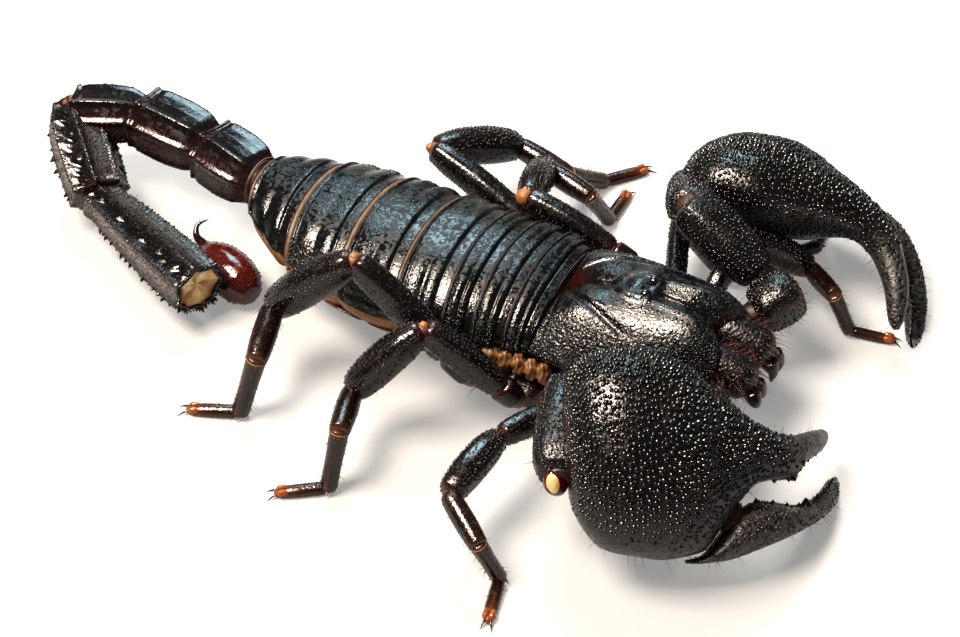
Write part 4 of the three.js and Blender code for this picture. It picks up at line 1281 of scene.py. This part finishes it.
def foot_claws(joints, axes, girth):
    """The two hooked claws that a foot ends in."""
    forward = unit(axes[4] * [1, 1, 0])
    across = np.array([-forward[1], forward[0], 0])
    root = joints[5] - 0.35 * axes[4]
    roots = np.array([root + across * s * 0.3 * girth + [0, 0, 0.15] for s in (-1, 1)])
    ways = np.array([forward + across * s * 0.3 + [0, 0, 0.25] for s in (-1, 1)])
    return thorns(roots, ways, 1.9 * girth, 0.2 * girth, corners=10, hook=[0, 0, -0.75], crease=0.5)


def leg_skin(joints, axes, neck, girth, bulge):
    """The soft skin of a leg: cuffs round its joints, a thin hoop, and the swelling of its knee."""
    sleeve(neck, axes[0], axes[0], 1.3 * girth, 0.4, thin=0.2, crease=0.2)
    sleeve(joints[1], axes[0], axes[1], 1.02 * girth, 1.1, thin=0.4, crease=0.45)
    sleeve(joints[2], axes[1], axes[2], 0.98 * girth, 0.9, thin=0.6, crease=0.6)
    skin_shapes.append(hoop(joints[3] + 0.3 * girth * axes[3], axes[3], 1.16 * girth, 0.09 * girth, thin=0.7))
    sleeve(joints[4], axes[3], axes[4], 0.76 * girth, 0.5, thin=0.8, crease=0.3)
    # The knee's hinge skin swells out where the leg folds sharply.
    fold = unit(axes[0] - axes[1])
    knee_ball = ball(joints[1] + fold * 0.45 * girth, bulge * girth)
    skin_shapes.append(closed_skin(knee_ball, thin=0.85, crease=0.05))


def leg(side, pair):
    """One leg: its thigh, its knee length, its foot with the claws, its soft skin and its bristles."""
    hip, turns = LEGS[side][pair]
    girth = LEG_GIRTH[pair]
    joints = walk(hip, [[length, *turn] for length, turn in zip(LEG_LENGTHS[pair], turns)])
    joints[4][2], joints[5][2] = HEEL_HEIGHT, TOE_HEIGHT
    axes = [unit(b - a) for a, b in zip(joints, joints[1:])]
    lap = 0.3 * girth

    def length(name, start, end, **shape_of):
        axis = unit(end - start)
        rings = [[s, w * girth, h * girth] for s, w, h in LEG_RINGS[name]]
        return barrel(start - lap * axis, end + lap * axis, rings, around=LEG_AROUND, along=LEG_ALONG,
                      **shape_of)

    neck = joints[0] + 0.2 * (joints[1] - joints[0])
    trochanter = length("trochanter", joints[0], neck, round_off=0.2)
    femur = length("femur", neck, joints[1], section=boxy, lift=0.25)
    patella = length("patella", joints[1], joints[2], section=boxy, lift=0.3)
    tibia = length("tibia", joints[2], joints[3] + 0.4 * girth * axes[2], round_off=0.05)
    basitarsus = length("basitarsus", joints[3], joints[4], round_off=0.03)
    tarsus = length("tarsus", joints[4], joints[5])
    for grid in (basitarsus, tarsus):
        grid[..., 2] = np.maximum(grid[..., 2], 0.0)
    prefix, node = f"{side} leg {pair + 1}", f"leg_{side}_{pair + 1}"
    thigh = [closed_skin(grid, thin=0.5 * end_fade(grid, 0.7), grain=rough)
             for grid, rough in ((trochanter, 0.3), (femur, 0.4))]
    spots = scatter(femur, 0.55)
    spots = spots[(rng.uniform(size=len(spots)) < 0.7) & between(spots[:, 0], 5, 50)]
    thigh.append(domes(*standing_on(femur, spots), 0.13, 0.11))
    make(f"{prefix} thigh", thigh, leg_shell, [f"{node}_femur"])
    low_half = np.clip(-np.sin(circle(LEG_AROUND)) + 0.1, 0, 1)[None]
    knee = [closed_skin(patella, thin=0.02 + 0.22 * low_half + 0.4 * end_fade(patella, 0.8), grain=0.15)]
    # Granules crowd the upper side; the lower half is smooth.
    spots = scatter(patella, 0.56)
    upper = np.clip(np.sin(spots[:, 1] * 2 * math.pi / LEG_AROUND) + 0.55, 0.06, 0.85)
    spots = spots[(rng.uniform(size=len(spots)) < upper) & between(spots[:, 0], 6, 50)]
    knee.append(domes(*standing_on(patella, spots), 0.17, 0.14))
    for column in (9, 27, 4, 32):
        rows = np.arange(7, 42, 1.6)
        line = np.stack([rows, column + 0 * rows], axis=1)
        knee.append(domes(*standing_on(patella, line), 0.13, 0.11))
    make(f"{prefix} knee length", knee, leg_shell, [f"{node}_patella"])
    redder = np.linspace(0, 1, LEG_ALONG)[:, None] ** 4
    foot = [closed_skin(tibia, thin=0.02 + 0.2 * end_fade(tibia, 0.4), grain=0.15),
            closed_skin(basitarsus, thin=0.03 + 0.25 * end_fade(basitarsus, 0.5), grain=0.2),
            closed_skin(tarsus, thin=0.03 + 0.85 * redder, grain=0.2)]
    for grid in (tibia, basitarsus):
        spots = scatter(grid, 0.9)
        spots = spots[(rng.uniform(size=len(spots)) < 0.5) & between(spots[:, 0], 6, 50)]
        foot.append(domes(*standing_on(grid, spots), 0.12, 0.07))
    foot += toe_parts(joints, axes, girth, LEG_LENGTHS[pair][4])
    make(f"{prefix} foot", foot, foot_shell, [f"{node}_foot"])
    make(f"{prefix} claws", [foot_claws(joints, axes, girth)], tail_shell)
    leg_skin(joints, axes, neck, girth, bulge=1.2 if (side, pair) == ("left", 2) else 0.6)
    bristle(femur, 3.2, 0.9, 0.6, keep=0.4, thickness=0.035)
    bristle(patella, 3.0, 0.9, 0.5, keep=0.4, thickness=0.035)
    bristle(tibia, 1.7, 1.1, 0.7, keep=0.55, thickness=0.045)
    bristle(basitarsus, 1.2, 1.1, 0.8, keep=0.6, thickness=0.045, red=0.3)
    bristle(tarsus, 1.0, 0.8, 0.7, keep=0.55, thickness=0.04, red=0.6)


for side in SIDES:
    for pair in range(len(LEG_LENGTHS)):
        leg(side, pair)

# ---------------------------------------------------------------- underside of the head


BREAST_RINGS = [[0, 1.5, 1.0], [0.15, 3.2, 1.7], [0.6, 6.2, 2.6], [1, 4.0, 2.2]]


def coxa_plates():
    """The breast plate, the hips of the eight legs and the roots of the arms."""
    breast = barrel([-4.0, 0, 4.6], [20.5, 0, 6.6], BREAST_RINGS, around=48, along=60)
    shapes = [closed_skin(breast, thin=0.4, grain=0.4)]
    for side, sign in SIDES.items():
        for pair, (hip, turns) in enumerate(LEGS[side]):
            x, y, z = STERNUM[pair]
            girth = LEG_GIRTH[pair]
            rings = [[0, 1.5, 1.5], [0.5, 2.5 * girth, 2.0], [0.85, 2.1 * girth, 1.8], [1, 1.5 * girth, 1.5]]
            grid = barrel([x, sign * y, z], hip, rings, around=36, along=44, section=boxy)
            shapes.append(closed_skin(grid, thin=0.4 + 0.6 * end_fade(grid, 1.0), grain=0.9))
            bristle(grid, 0.9, 1.6, 0.3, keep=0.5, thickness=0.05, red=0.9)
            sleeve(np.array(hip, float), unit(np.array(hip) - [x, sign * y, z]),
                   heading(*turns[0]), 1.25 * girth, 0.9, thin=0.4, crease=0.2)
        root = barrel([13, sign * 3.6, 6.8], [22.8, sign * 7.8, 8.0],
                      [[0, 1.6, 1.6], [0.6, 2.5, 1.9], [1, 2.4, 1.9]], around=36, along=44, section=boxy)
        shapes.append(closed_skin(root, thin=0.4 + 0.5 * end_fade(root, 1.0), grain=0.7))
        bristle(root, 0.9, 2.4, 0.6, keep=0.7, thickness=0.075, red=1.0)
    return shapes


make("breast and hip plates", coxa_plates(), mouth_shell, ["coxae"])


def jaw(side, sign):
    """A short swollen jaw with a fixed and a moving tooth at its tip."""
    base, bend, tip = ([25.3, sign * 2.7, 12.5], [28.4, sign * 2.9, 10.8], [29.2, sign * 2.2, 7.2])
    body = barrel(np.array(base) - [4.5, 0, -0.5], np.array(bend) + [0.5, 0, -0.9],
                  [[0, 1.8, 2.0], [0.4, 2.45, 2.7], [0.7, 2.6, 2.9], [0.88, 2.2, 2.4], [1, 1.4, 1.6]],
                  around=60, along=70, round_off=0.2)
    shapes = [closed_skin(body, thin=0.05 + 0.2 * end_fade(body, 1.0), grain=0.9),
              field_grains(body, np.full(body.shape[:2], 0.7), 0.6, 0.16, 0.12)]
    bend, tip = np.array(bend, float), np.array(tip, float)
    for offset, bow in ((0.75, 0.35), (-0.75, -0.35)):
        path = curve_through([bend + [0.2, offset, -0.8], bend + [0.9, offset * 1.25, -2.2],
                              tip + [0.1, offset * 0.35 + bow, 0.0]], 24)
        shapes.append(tube(path, [1.15, 1.05, 0.75, 0.45, 0.12], around=24, thin=0.3))
    make(f"{side} jaw", shapes, mouth_shell, [f"chelicera_{side}"])
    bristle(body, 0.7, 2.2, 0.6, share_range=(0.3, 0.98), keep=0.6, thickness=0.035, red=0.2)


def comb(side, sign):
    """One of the two feelers under the belly: a jointed blade with a row of blunt teeth."""
    joints = curve_through([[-5.2, sign * 1.6, 3.2], [-8.6, sign * 8.6, 3.3], [-8.9, sign * 11.6, 4.4]], 40)
    shapes = [tube(joints, [0.5, 0.75, 0.7, 0.6, 0.4, 0.2], around=18, thin=0.3)]
    for point in joints[4:38:2]:
        tooth = [point, point + [-0.9, 0, -0.05], point + [-1.7, 0, -0.1]]
        shapes.append(tube(tooth, [0.3, 0.34, 0.14], around=10))
    make(f"{side} comb", shapes, belly_shell, [f"pectine_{side}"])


for side, sign in SIDES.items():
    jaw(side, sign)
    comb(side, sign)

# ---------------------------------------------------------------- arms and claws


def claw_frame(side, sign):
    """The wrist and the directions along a hand, towards its inner edge and out of its back."""
    _, _, wrist, root = np.array(ARMS[side]["joints"])
    along = unit(root - wrist)
    back = np.array([CLAW_TILT[0], sign * CLAW_TILT[1], CLAW_TILT[2]])
    back = unit(back - along * (back @ along))
    return wrist, along, np.cross(along, back) * sign, back


def claw_spine(side, finger, opening):
    """The bent middle line of a hand and one of its fingers, as distance along and rise."""
    _, _, wrist, root = np.array(ARMS[side]["joints"])
    hand = np.linalg.norm(root - wrist)
    droop = math.radians(ARMS[side]["droop"] + opening)
    points = [[0, 0], [0.5 * hand, 0.8], [hand, 0]]
    for reach, turn in ((0.55, 0.8), (1.0, 1.0)):
        bend = turn * droop
        points.append([hand + reach * finger * math.cos(bend), -reach * finger * math.sin(bend)])
    return curve_through(points, 400)


def claw_body(side, sign, spine, rings, along_count, around):
    """Rows of points of a hand or a finger whose rings stand on a spine."""
    wrist, along, inner, back = claw_frame(side, sign)
    low, high = rings[0][0], rings[-1][0]
    share = low + (high - low) * (eased(along_count) + np.linspace(0, 1, along_count)) / 2
    outer_edge, inner_edge, rise, fall = profile(rings, share).T
    place = share * (len(spine) - 1)

    def read(values):
        return np.stack([np.interp(place, np.arange(len(spine)), values[:, i]) for i in (0, 1)], axis=1)

    middle, tangent = read(spine), unit(read(np.gradient(spine, axis=0)))
    across, up = np.cos(circle(around))[None], np.sin(circle(around))[None]
    shift = (outer_edge + inner_edge)[:, None] / 2 + across * (inner_edge - outer_edge)[:, None] / 2
    height = up * np.where(up > 0, rise[:, None], fall[:, None])
    return (
        wrist
        + (middle[:, :1] - tangent[:, 1:] * height)[..., None] * along
        + (middle[:, 1:] + tangent[:, :1] * height)[..., None] * back
        + shift[..., None] * inner
    )


def claw_grains(grid, spacing, radius, height, palm_share=0.55, worn=None):
    """Rounded granules all over a claw, larger on its back and missing where it is worn."""
    rows, columns = grid.shape[:2]
    spots = scatter(grid, spacing, jitter=0.34)
    if worn is not None:
        spots = spots[sample(worn, spots) < rng.uniform(0.1, 0.6, len(spots))]
    round_it = [
        [0, 0.8], [45, 1.05], [105, 1.05], [135, 0.7], [165, 0.5], [200, 0.7], [270, palm_share], [360, 0.8],
    ]
    scale = np.interp(spots[:, 1] / columns * 360, *np.transpose(round_it))
    ends = np.interp(spots[:, 0] / rows, [0, 0.04, 0.5, 0.85, 1], [0.4, 1, 1, 0.8, 0.5])
    scale = scale * ends * rng.uniform(0.72, 1.15, len(spots))
    return domes(*standing_on(grid, spots), radius * scale, height * scale)


def finger_teeth(grid, column, share_range, spacing, big):
    """A close row of blunt teeth on a finger's biting edge, with larger ones among them."""
    rows = grid.shape[0]
    run = run_along(grid[:, column])
    start, end = (np.interp(s * (rows - 1), np.arange(rows), run) for s in share_range)
    places = np.arange(start, end, spacing)
    line = np.stack([np.interp(places, run, np.arange(rows)), np.full(len(places), float(column))], axis=1)
    size = np.full(len(places), 0.26)
    size[::6] = 0.45
    roots, out = standing_on(grid, line)
    shapes = [thorns(roots, out, size * 1.3, size * 0.8, crease=0.3)]
    for share in big:
        spot = np.array([[share * (rows - 1), float(column)]])
        shapes.append(thorns(*standing_on(grid, spot), 1.0, 0.85, corners=12))
    return shapes


ARM_RINGS = {
    "hub": [[0, 2.2, 2.2], [0.25, 3.0, 3.2], [0.6, 3.1, 3.5], [0.9, 2.6, 2.9], [1, 1.8, 2.0]],
    "femur": [
        [0, 2.0, 1.8], [0.1, 2.5, 2.2], [0.35, 3.0, 2.7], [0.7, 3.2, 2.9], [0.92, 3.0, 2.6], [1, 2.4, 2.1],
    ],
    "patella": [
        [0, 2.2, 2.0], [0.08, 2.8, 2.5], [0.25, 3.3, 3.0], [0.55, 3.6, 3.2], [0.82, 3.4, 3.0], [1, 2.4, 2.1],
    ],
    "condyle": [[0, 0.8, 0.8], [0.5, 1.0, 1.0], [1, 0.8, 0.8]],
    "socket": [[0, 1.1, 1.1], [0.5, 1.5, 1.5], [1, 1.1, 1.1]],
}
HAND_ALONG, HAND_AROUND = 170, 150
FINGER_ALONG, FINGER_AROUND = 110, 84
INNER_COLUMN = 0  # the inner edge of a hand or finger, where the moving finger bites and hinges


def arm_lengths(side, hub, elbow, wrist):
    """The upper arm and the forearm, granular, with four rows of larger beads along each."""
    upper, lower = unit(elbow - hub), unit(wrist - elbow)
    box = {"section": boxy, "around": 72, "along": 70, "lift": 0.2}
    femur = barrel(hub + upper * 0.24 * np.linalg.norm(elbow - hub), elbow + upper * 0.7,
                   ARM_RINGS["femur"], **box)
    patella = barrel(elbow - lower * 0.6, elbow + 0.95 * (wrist - elbow), ARM_RINGS["patella"], **box)
    for name, grid, node in (("upper arm", femur, "femur"), ("forearm", patella, "patella")):
        thin, crease = 0.3 * end_fade(grid, 0.5), 0.2 * end_fade(grid, 0.3)
        shapes = [closed_skin(grid, thin=thin, grain=1.0, crease=crease)]
        shapes.append(claw_grains(grid, 0.66, 0.23, 0.19, 0.8))
        for column in (9, 27, 45, 63):
            rows = np.arange(6, 64, 1.7)
            line = np.stack([rows, column + rng.normal(0, 0.3, len(rows))], axis=1)
            shapes.append(domes(*standing_on(grid, line), 0.27, 0.26))
        make(f"{side} {name}", shapes, claw_shell, [f"pedipalp_{side}_{node}"])
        bristle(grid, 2.0, 1.4, 0.3, keep=0.5, thickness=0.04, red=0.2)


def hand(side, sign):
    """The swollen hand with its fixed finger, worn smooth along its outer edge."""
    grid = claw_body(side, sign, claw_spine(side, FIXED_FINGER, 0), HAND, HAND_ALONG, HAND_AROUND)
    share, turn = np.linspace(0, 1, HAND_ALONG)[:, None], circle(HAND_AROUND)[None]
    worn = np.clip((-np.cos(turn - 0.6) - 0.2) / 0.5, 0, 1) + 0.6 * np.clip((share - 0.6) / 0.1, 0, 1)
    worn = np.clip(worn, 0, 1) * np.clip(1 - 1.2 * bell(share, 0.03), 0, 1)
    shapes = [closed_skin(grid, thin=0.5 * bell(share, 0.02) + 0 * turn, grain=0.8 * (1 - worn), worn=worn)]
    shapes.append(claw_grains(grid, 0.76, 0.38, 0.32, worn=worn))
    shapes += finger_teeth(grid, HAND_AROUND // 2, (0.62, 0.97), 0.42, (0.69,))
    make(f"{side} hand", shapes, claw_shell, [f"pedipalp_{side}_hand"])
    bristle(grid, 2.6, 1.9, 0.25, angles=(150, 215), keep=0.7, thickness=0.035)
    bristle(grid, 2.6, 1.9, 0.25, angles=(-25, 25), keep=0.6, thickness=0.035)
    bristle(grid, 1.5, 1.5, 0.2, share_range=(0.62, 1), keep=0.6, thickness=0.035)


def moving_finger(side, sign):
    """The lower, hinged finger. Its rows of points tell where its hinge skin goes."""
    spine = claw_spine(side, MOVABLE_FINGER, ARMS[side]["opening"])
    grid = claw_body(side, sign, spine, FINGER, FINGER_ALONG, FINGER_AROUND)
    grid[..., 2] = np.maximum(grid[..., 2], 0.0)
    share = np.linspace(0, 1, FINGER_ALONG)[:, None]
    tip = share + 0 * grid[..., 0]
    shapes = [closed_skin(grid, thin=0.5 * bell(share, 0.1), grain=0.4, worn=0.8 - 0.3 * tip)]
    shapes.append(claw_grains(grid, 0.6, 0.2, 0.14, 0.8, worn=0.5 - 0.4 * tip))
    shapes += finger_teeth(grid, INNER_COLUMN, (0.36, 0.98), 0.4, (0.6,))
    make(f"{side} moving finger", shapes, claw_shell, [f"pedipalp_{side}_movable_finger"])
    bristle(grid, 1.5, 1.5, 0.2, keep=0.5, thickness=0.035)
    return grid


def wrist_knuckle(side, cuff, lower):
    """A tall cream condyle that stands in the wrist, in a red-brown socket."""
    tall = np.array([-0.25, -0.1, 0.96])
    knuckle = cuff + 0.95 * lower - [0.5, 0, 0.3]
    seat = knuckle - 0.55 * lower - 0.2 * tall
    fine = {"around": 32, "along": 32, "round_off": 0.45}
    condyle = barrel(knuckle - 1.75 * tall, knuckle + 1.75 * tall, ARM_RINGS["condyle"], **fine)
    make(f"{side} wrist condyle", [closed_skin(condyle)], vent_skin)
    socket = barrel(seat - 2.2 * tall, seat + 2.0 * tall, ARM_RINGS["socket"], **fine)
    make(f"{side} wrist rim", [closed_skin(socket)], red_shell)


def arm(side, sign):
    """One claw arm, from its root beside the jaws to the fingers, with the soft skin of its joints."""
    hub, elbow, wrist, _ = np.array(ARMS[side]["joints"])
    inward = np.array([-2.6, -sign * 3.0, -1.6])
    root = barrel(hub + inward, hub - 0.6 * inward, ARM_RINGS["hub"], section=boxy, around=60, along=60,
                  round_off=0.15)
    grains = claw_grains(root, 0.62, 0.24, 0.2, 0.9)
    make(f"{side} arm root", [closed_skin(root, thin=0.5 * end_fade(root, 0.8), grain=0.8), grains],
         claw_shell, [f"pedipalp_{side}_trochanter"])
    bristle(root, 1.0, 1.5, 0.2, keep=0.55, thickness=0.045, red=0.5)
    arm_lengths(side, hub, elbow, wrist)
    hand(side, sign)
    finger = moving_finger(side, sign)
    # Soft skin at the elbow, the wrist and the finger's hinge.
    upper, lower = unit(elbow - hub), unit(wrist - elbow)
    cuff = elbow + 0.95 * (wrist - elbow)
    sleeve(elbow, upper, lower, 1.9, 1.6, thin=0.8, crease=0.85)
    sleeve(cuff, lower, lower, 1.7, 0.5, thin=0.4, crease=0.95)
    wrist_knuckle(side, cuff, lower)
    hinge_rows = [int(0.22 * FINGER_ALONG), int(0.3 * FINGER_ALONG)]
    hinge = finger[hinge_rows, INNER_COLUMN].mean(axis=0)
    centre = finger[hinge_rows].mean(axis=(0, 1))
    way = unit(hinge - centre)
    skin_shapes.append(tube([centre, hinge - 0.3 * way, hinge + 1.8 * way], [1.5, 1.6, 1.3],
                            thin=0.8, crease=0.75))
    # The shoulder between the arm's root and the hip plates.
    skin_shapes.append(tube([hub + inward * 1.35, hub + inward * 0.7], [1.6, 2.0], thin=0.5, crease=0.95))


for side, sign in SIDES.items():
    arm(side, sign)

# ---------------------------------------------------------------- soft joints and bristles

# The tail's root, and the knot of skin where the tail folds back on itself.
rearward = heading(180, 0)
sleeve(tail_joints[0] + 0.2 * rearward, rearward, heading(166, 1), 3.2, 0.8, thin=0.3, crease=0.8)
skin_shapes.append(hoop(tail_joints[0] + 0.1 * heading(172, 0), heading(172, 0), 3.55, 0.12, crease=0.15))
skin_shapes.append(closed_skin(ball(tail_joints[3] + [0.2, 0.1, 0.95], 2.0), thin=0.8, crease=0.45))
make("tail vent skin", [tail_mouth()], vent_skin)
make("soft joints", skin_shapes, soft_skin)

hairs, hair_patches = bristle_shapes()
coat = make("bristles", hairs, bristles)
PATCH = 0.003  # how wide each bristle's patch of the unwrap is
loops = np.empty(len(coat.data.loops), np.int32)
coat.data.loops.foreach_get("vertex_index", loops)
inside = rng.uniform(0, PATCH, (len(hair_patches), 2))
unwrap = coat.data.uv_layers.new(name="OFBake")
unwrap.data.foreach_set("uv", (hair_patches + inside)[loops].ravel())

# ---------------------------------------------------------------- floor, lights and camera


def floor_finish():
    """Matt white board over a light table, which keeps its shadows pale."""
    finish, tree = new_finish("white board")
    shader = add(tree, "ShaderNodeBsdfPrincipled",
                 {"Base Color": linear("#969696"), "Roughness": 0.8,
                  "Emission Color": linear("#fffefb"), "Emission Strength": 0.27})
    close_finish(tree, shader.outputs[0])
    return finish


def plain_floor():
    half = 1500 * MM
    mesh = bpy.data.meshes.new("floor")
    corners = [(-half, -half, 0), (half, -half, 0), (half, half, 0), (-half, half, 0)]
    mesh.from_pydata(corners, [], [(0, 1, 2, 3)])
    mesh.materials.append(floor_finish())
    floor = bpy.data.objects.new("floor", mesh)
    bpy.context.scene.collection.objects.link(floor)


def place_of(target, azimuth, elevation, distance):
    """A place in the world this far from a target of the animal's own frame, in that direction."""
    return (np.array(target) + distance * heading(azimuth, elevation) + SHIFT) * MM


def aim(item, target):
    way = (np.array(target) + SHIFT) * MM - np.array(item.location)
    x, y, z = way
    item.rotation_euler = (math.atan2(math.hypot(x, y), -z), 0, math.atan2(-x, y))


def soft_box(name, azimuth, elevation, distance, size, power, colour):
    """A square studio lamp that faces the animal."""
    lamp = bpy.data.lights.new(name, "AREA")
    lamp.size = size * MM
    lamp.energy = power
    lamp.color = linear(colour)[:3]
    item = bpy.data.objects.new(name, lamp)
    bpy.context.scene.collection.objects.link(item)
    item.location = place_of(CENTRE, azimuth, elevation, distance)
    aim(item, CENTRE)
    return item


CENTRE = [-7.9, -5.7, 8.0]  # what the camera and the lamps face
VIEW = {"azimuth": -63, "elevation": 45, "distance": 290, "width": 24}
plain_floor()
soft_box("warm key", -140, 63, 480, 200, 4.8, "#fff1e2")
# A card in front of the key strengthens the key's mirror image and lights nothing else.
soft_box("key card", -140, 63, 476, 185, 4.5, "#ffe8d6").visible_diffuse = False
# The sky's blue shows only where the polished shell mirrors it; the fill from the same side lifts
# the floor and the shadows, and the shell doesn't mirror it.
soft_box("cool window", 119, 46, 520, 215, 2.3, "#c6e6f2").visible_diffuse = False
soft_box("fill", 114, 48, 520, 220, 4.2, "#fff7ee").visible_glossy = False

world = bpy.data.worlds.new("studio")
world.use_nodes = True
world.node_tree.nodes.clear()
air = add(world.node_tree, "ShaderNodeBackground", {"Color": linear("#f5f4f2"), "Strength": 0.2})
add(world.node_tree, "ShaderNodeOutputWorld", links={"Surface": air.outputs[0]})
bpy.context.scene.world = world
bpy.context.scene.view_settings.view_transform = "Standard"
bpy.context.scene.view_settings.look = "Medium High Contrast"

camera = bpy.data.cameras.new("camera")
camera.sensor_fit = "HORIZONTAL"
camera.angle = math.radians(VIEW["width"])
camera.clip_start = 0.01
viewer = bpy.data.objects.new("camera", camera)
bpy.context.scene.collection.objects.link(viewer)
viewer.location = place_of(CENTRE, VIEW["azimuth"], VIEW["elevation"], VIEW["distance"])
aim(viewer, CENTRE)
bpy.context.scene.camera = viewer
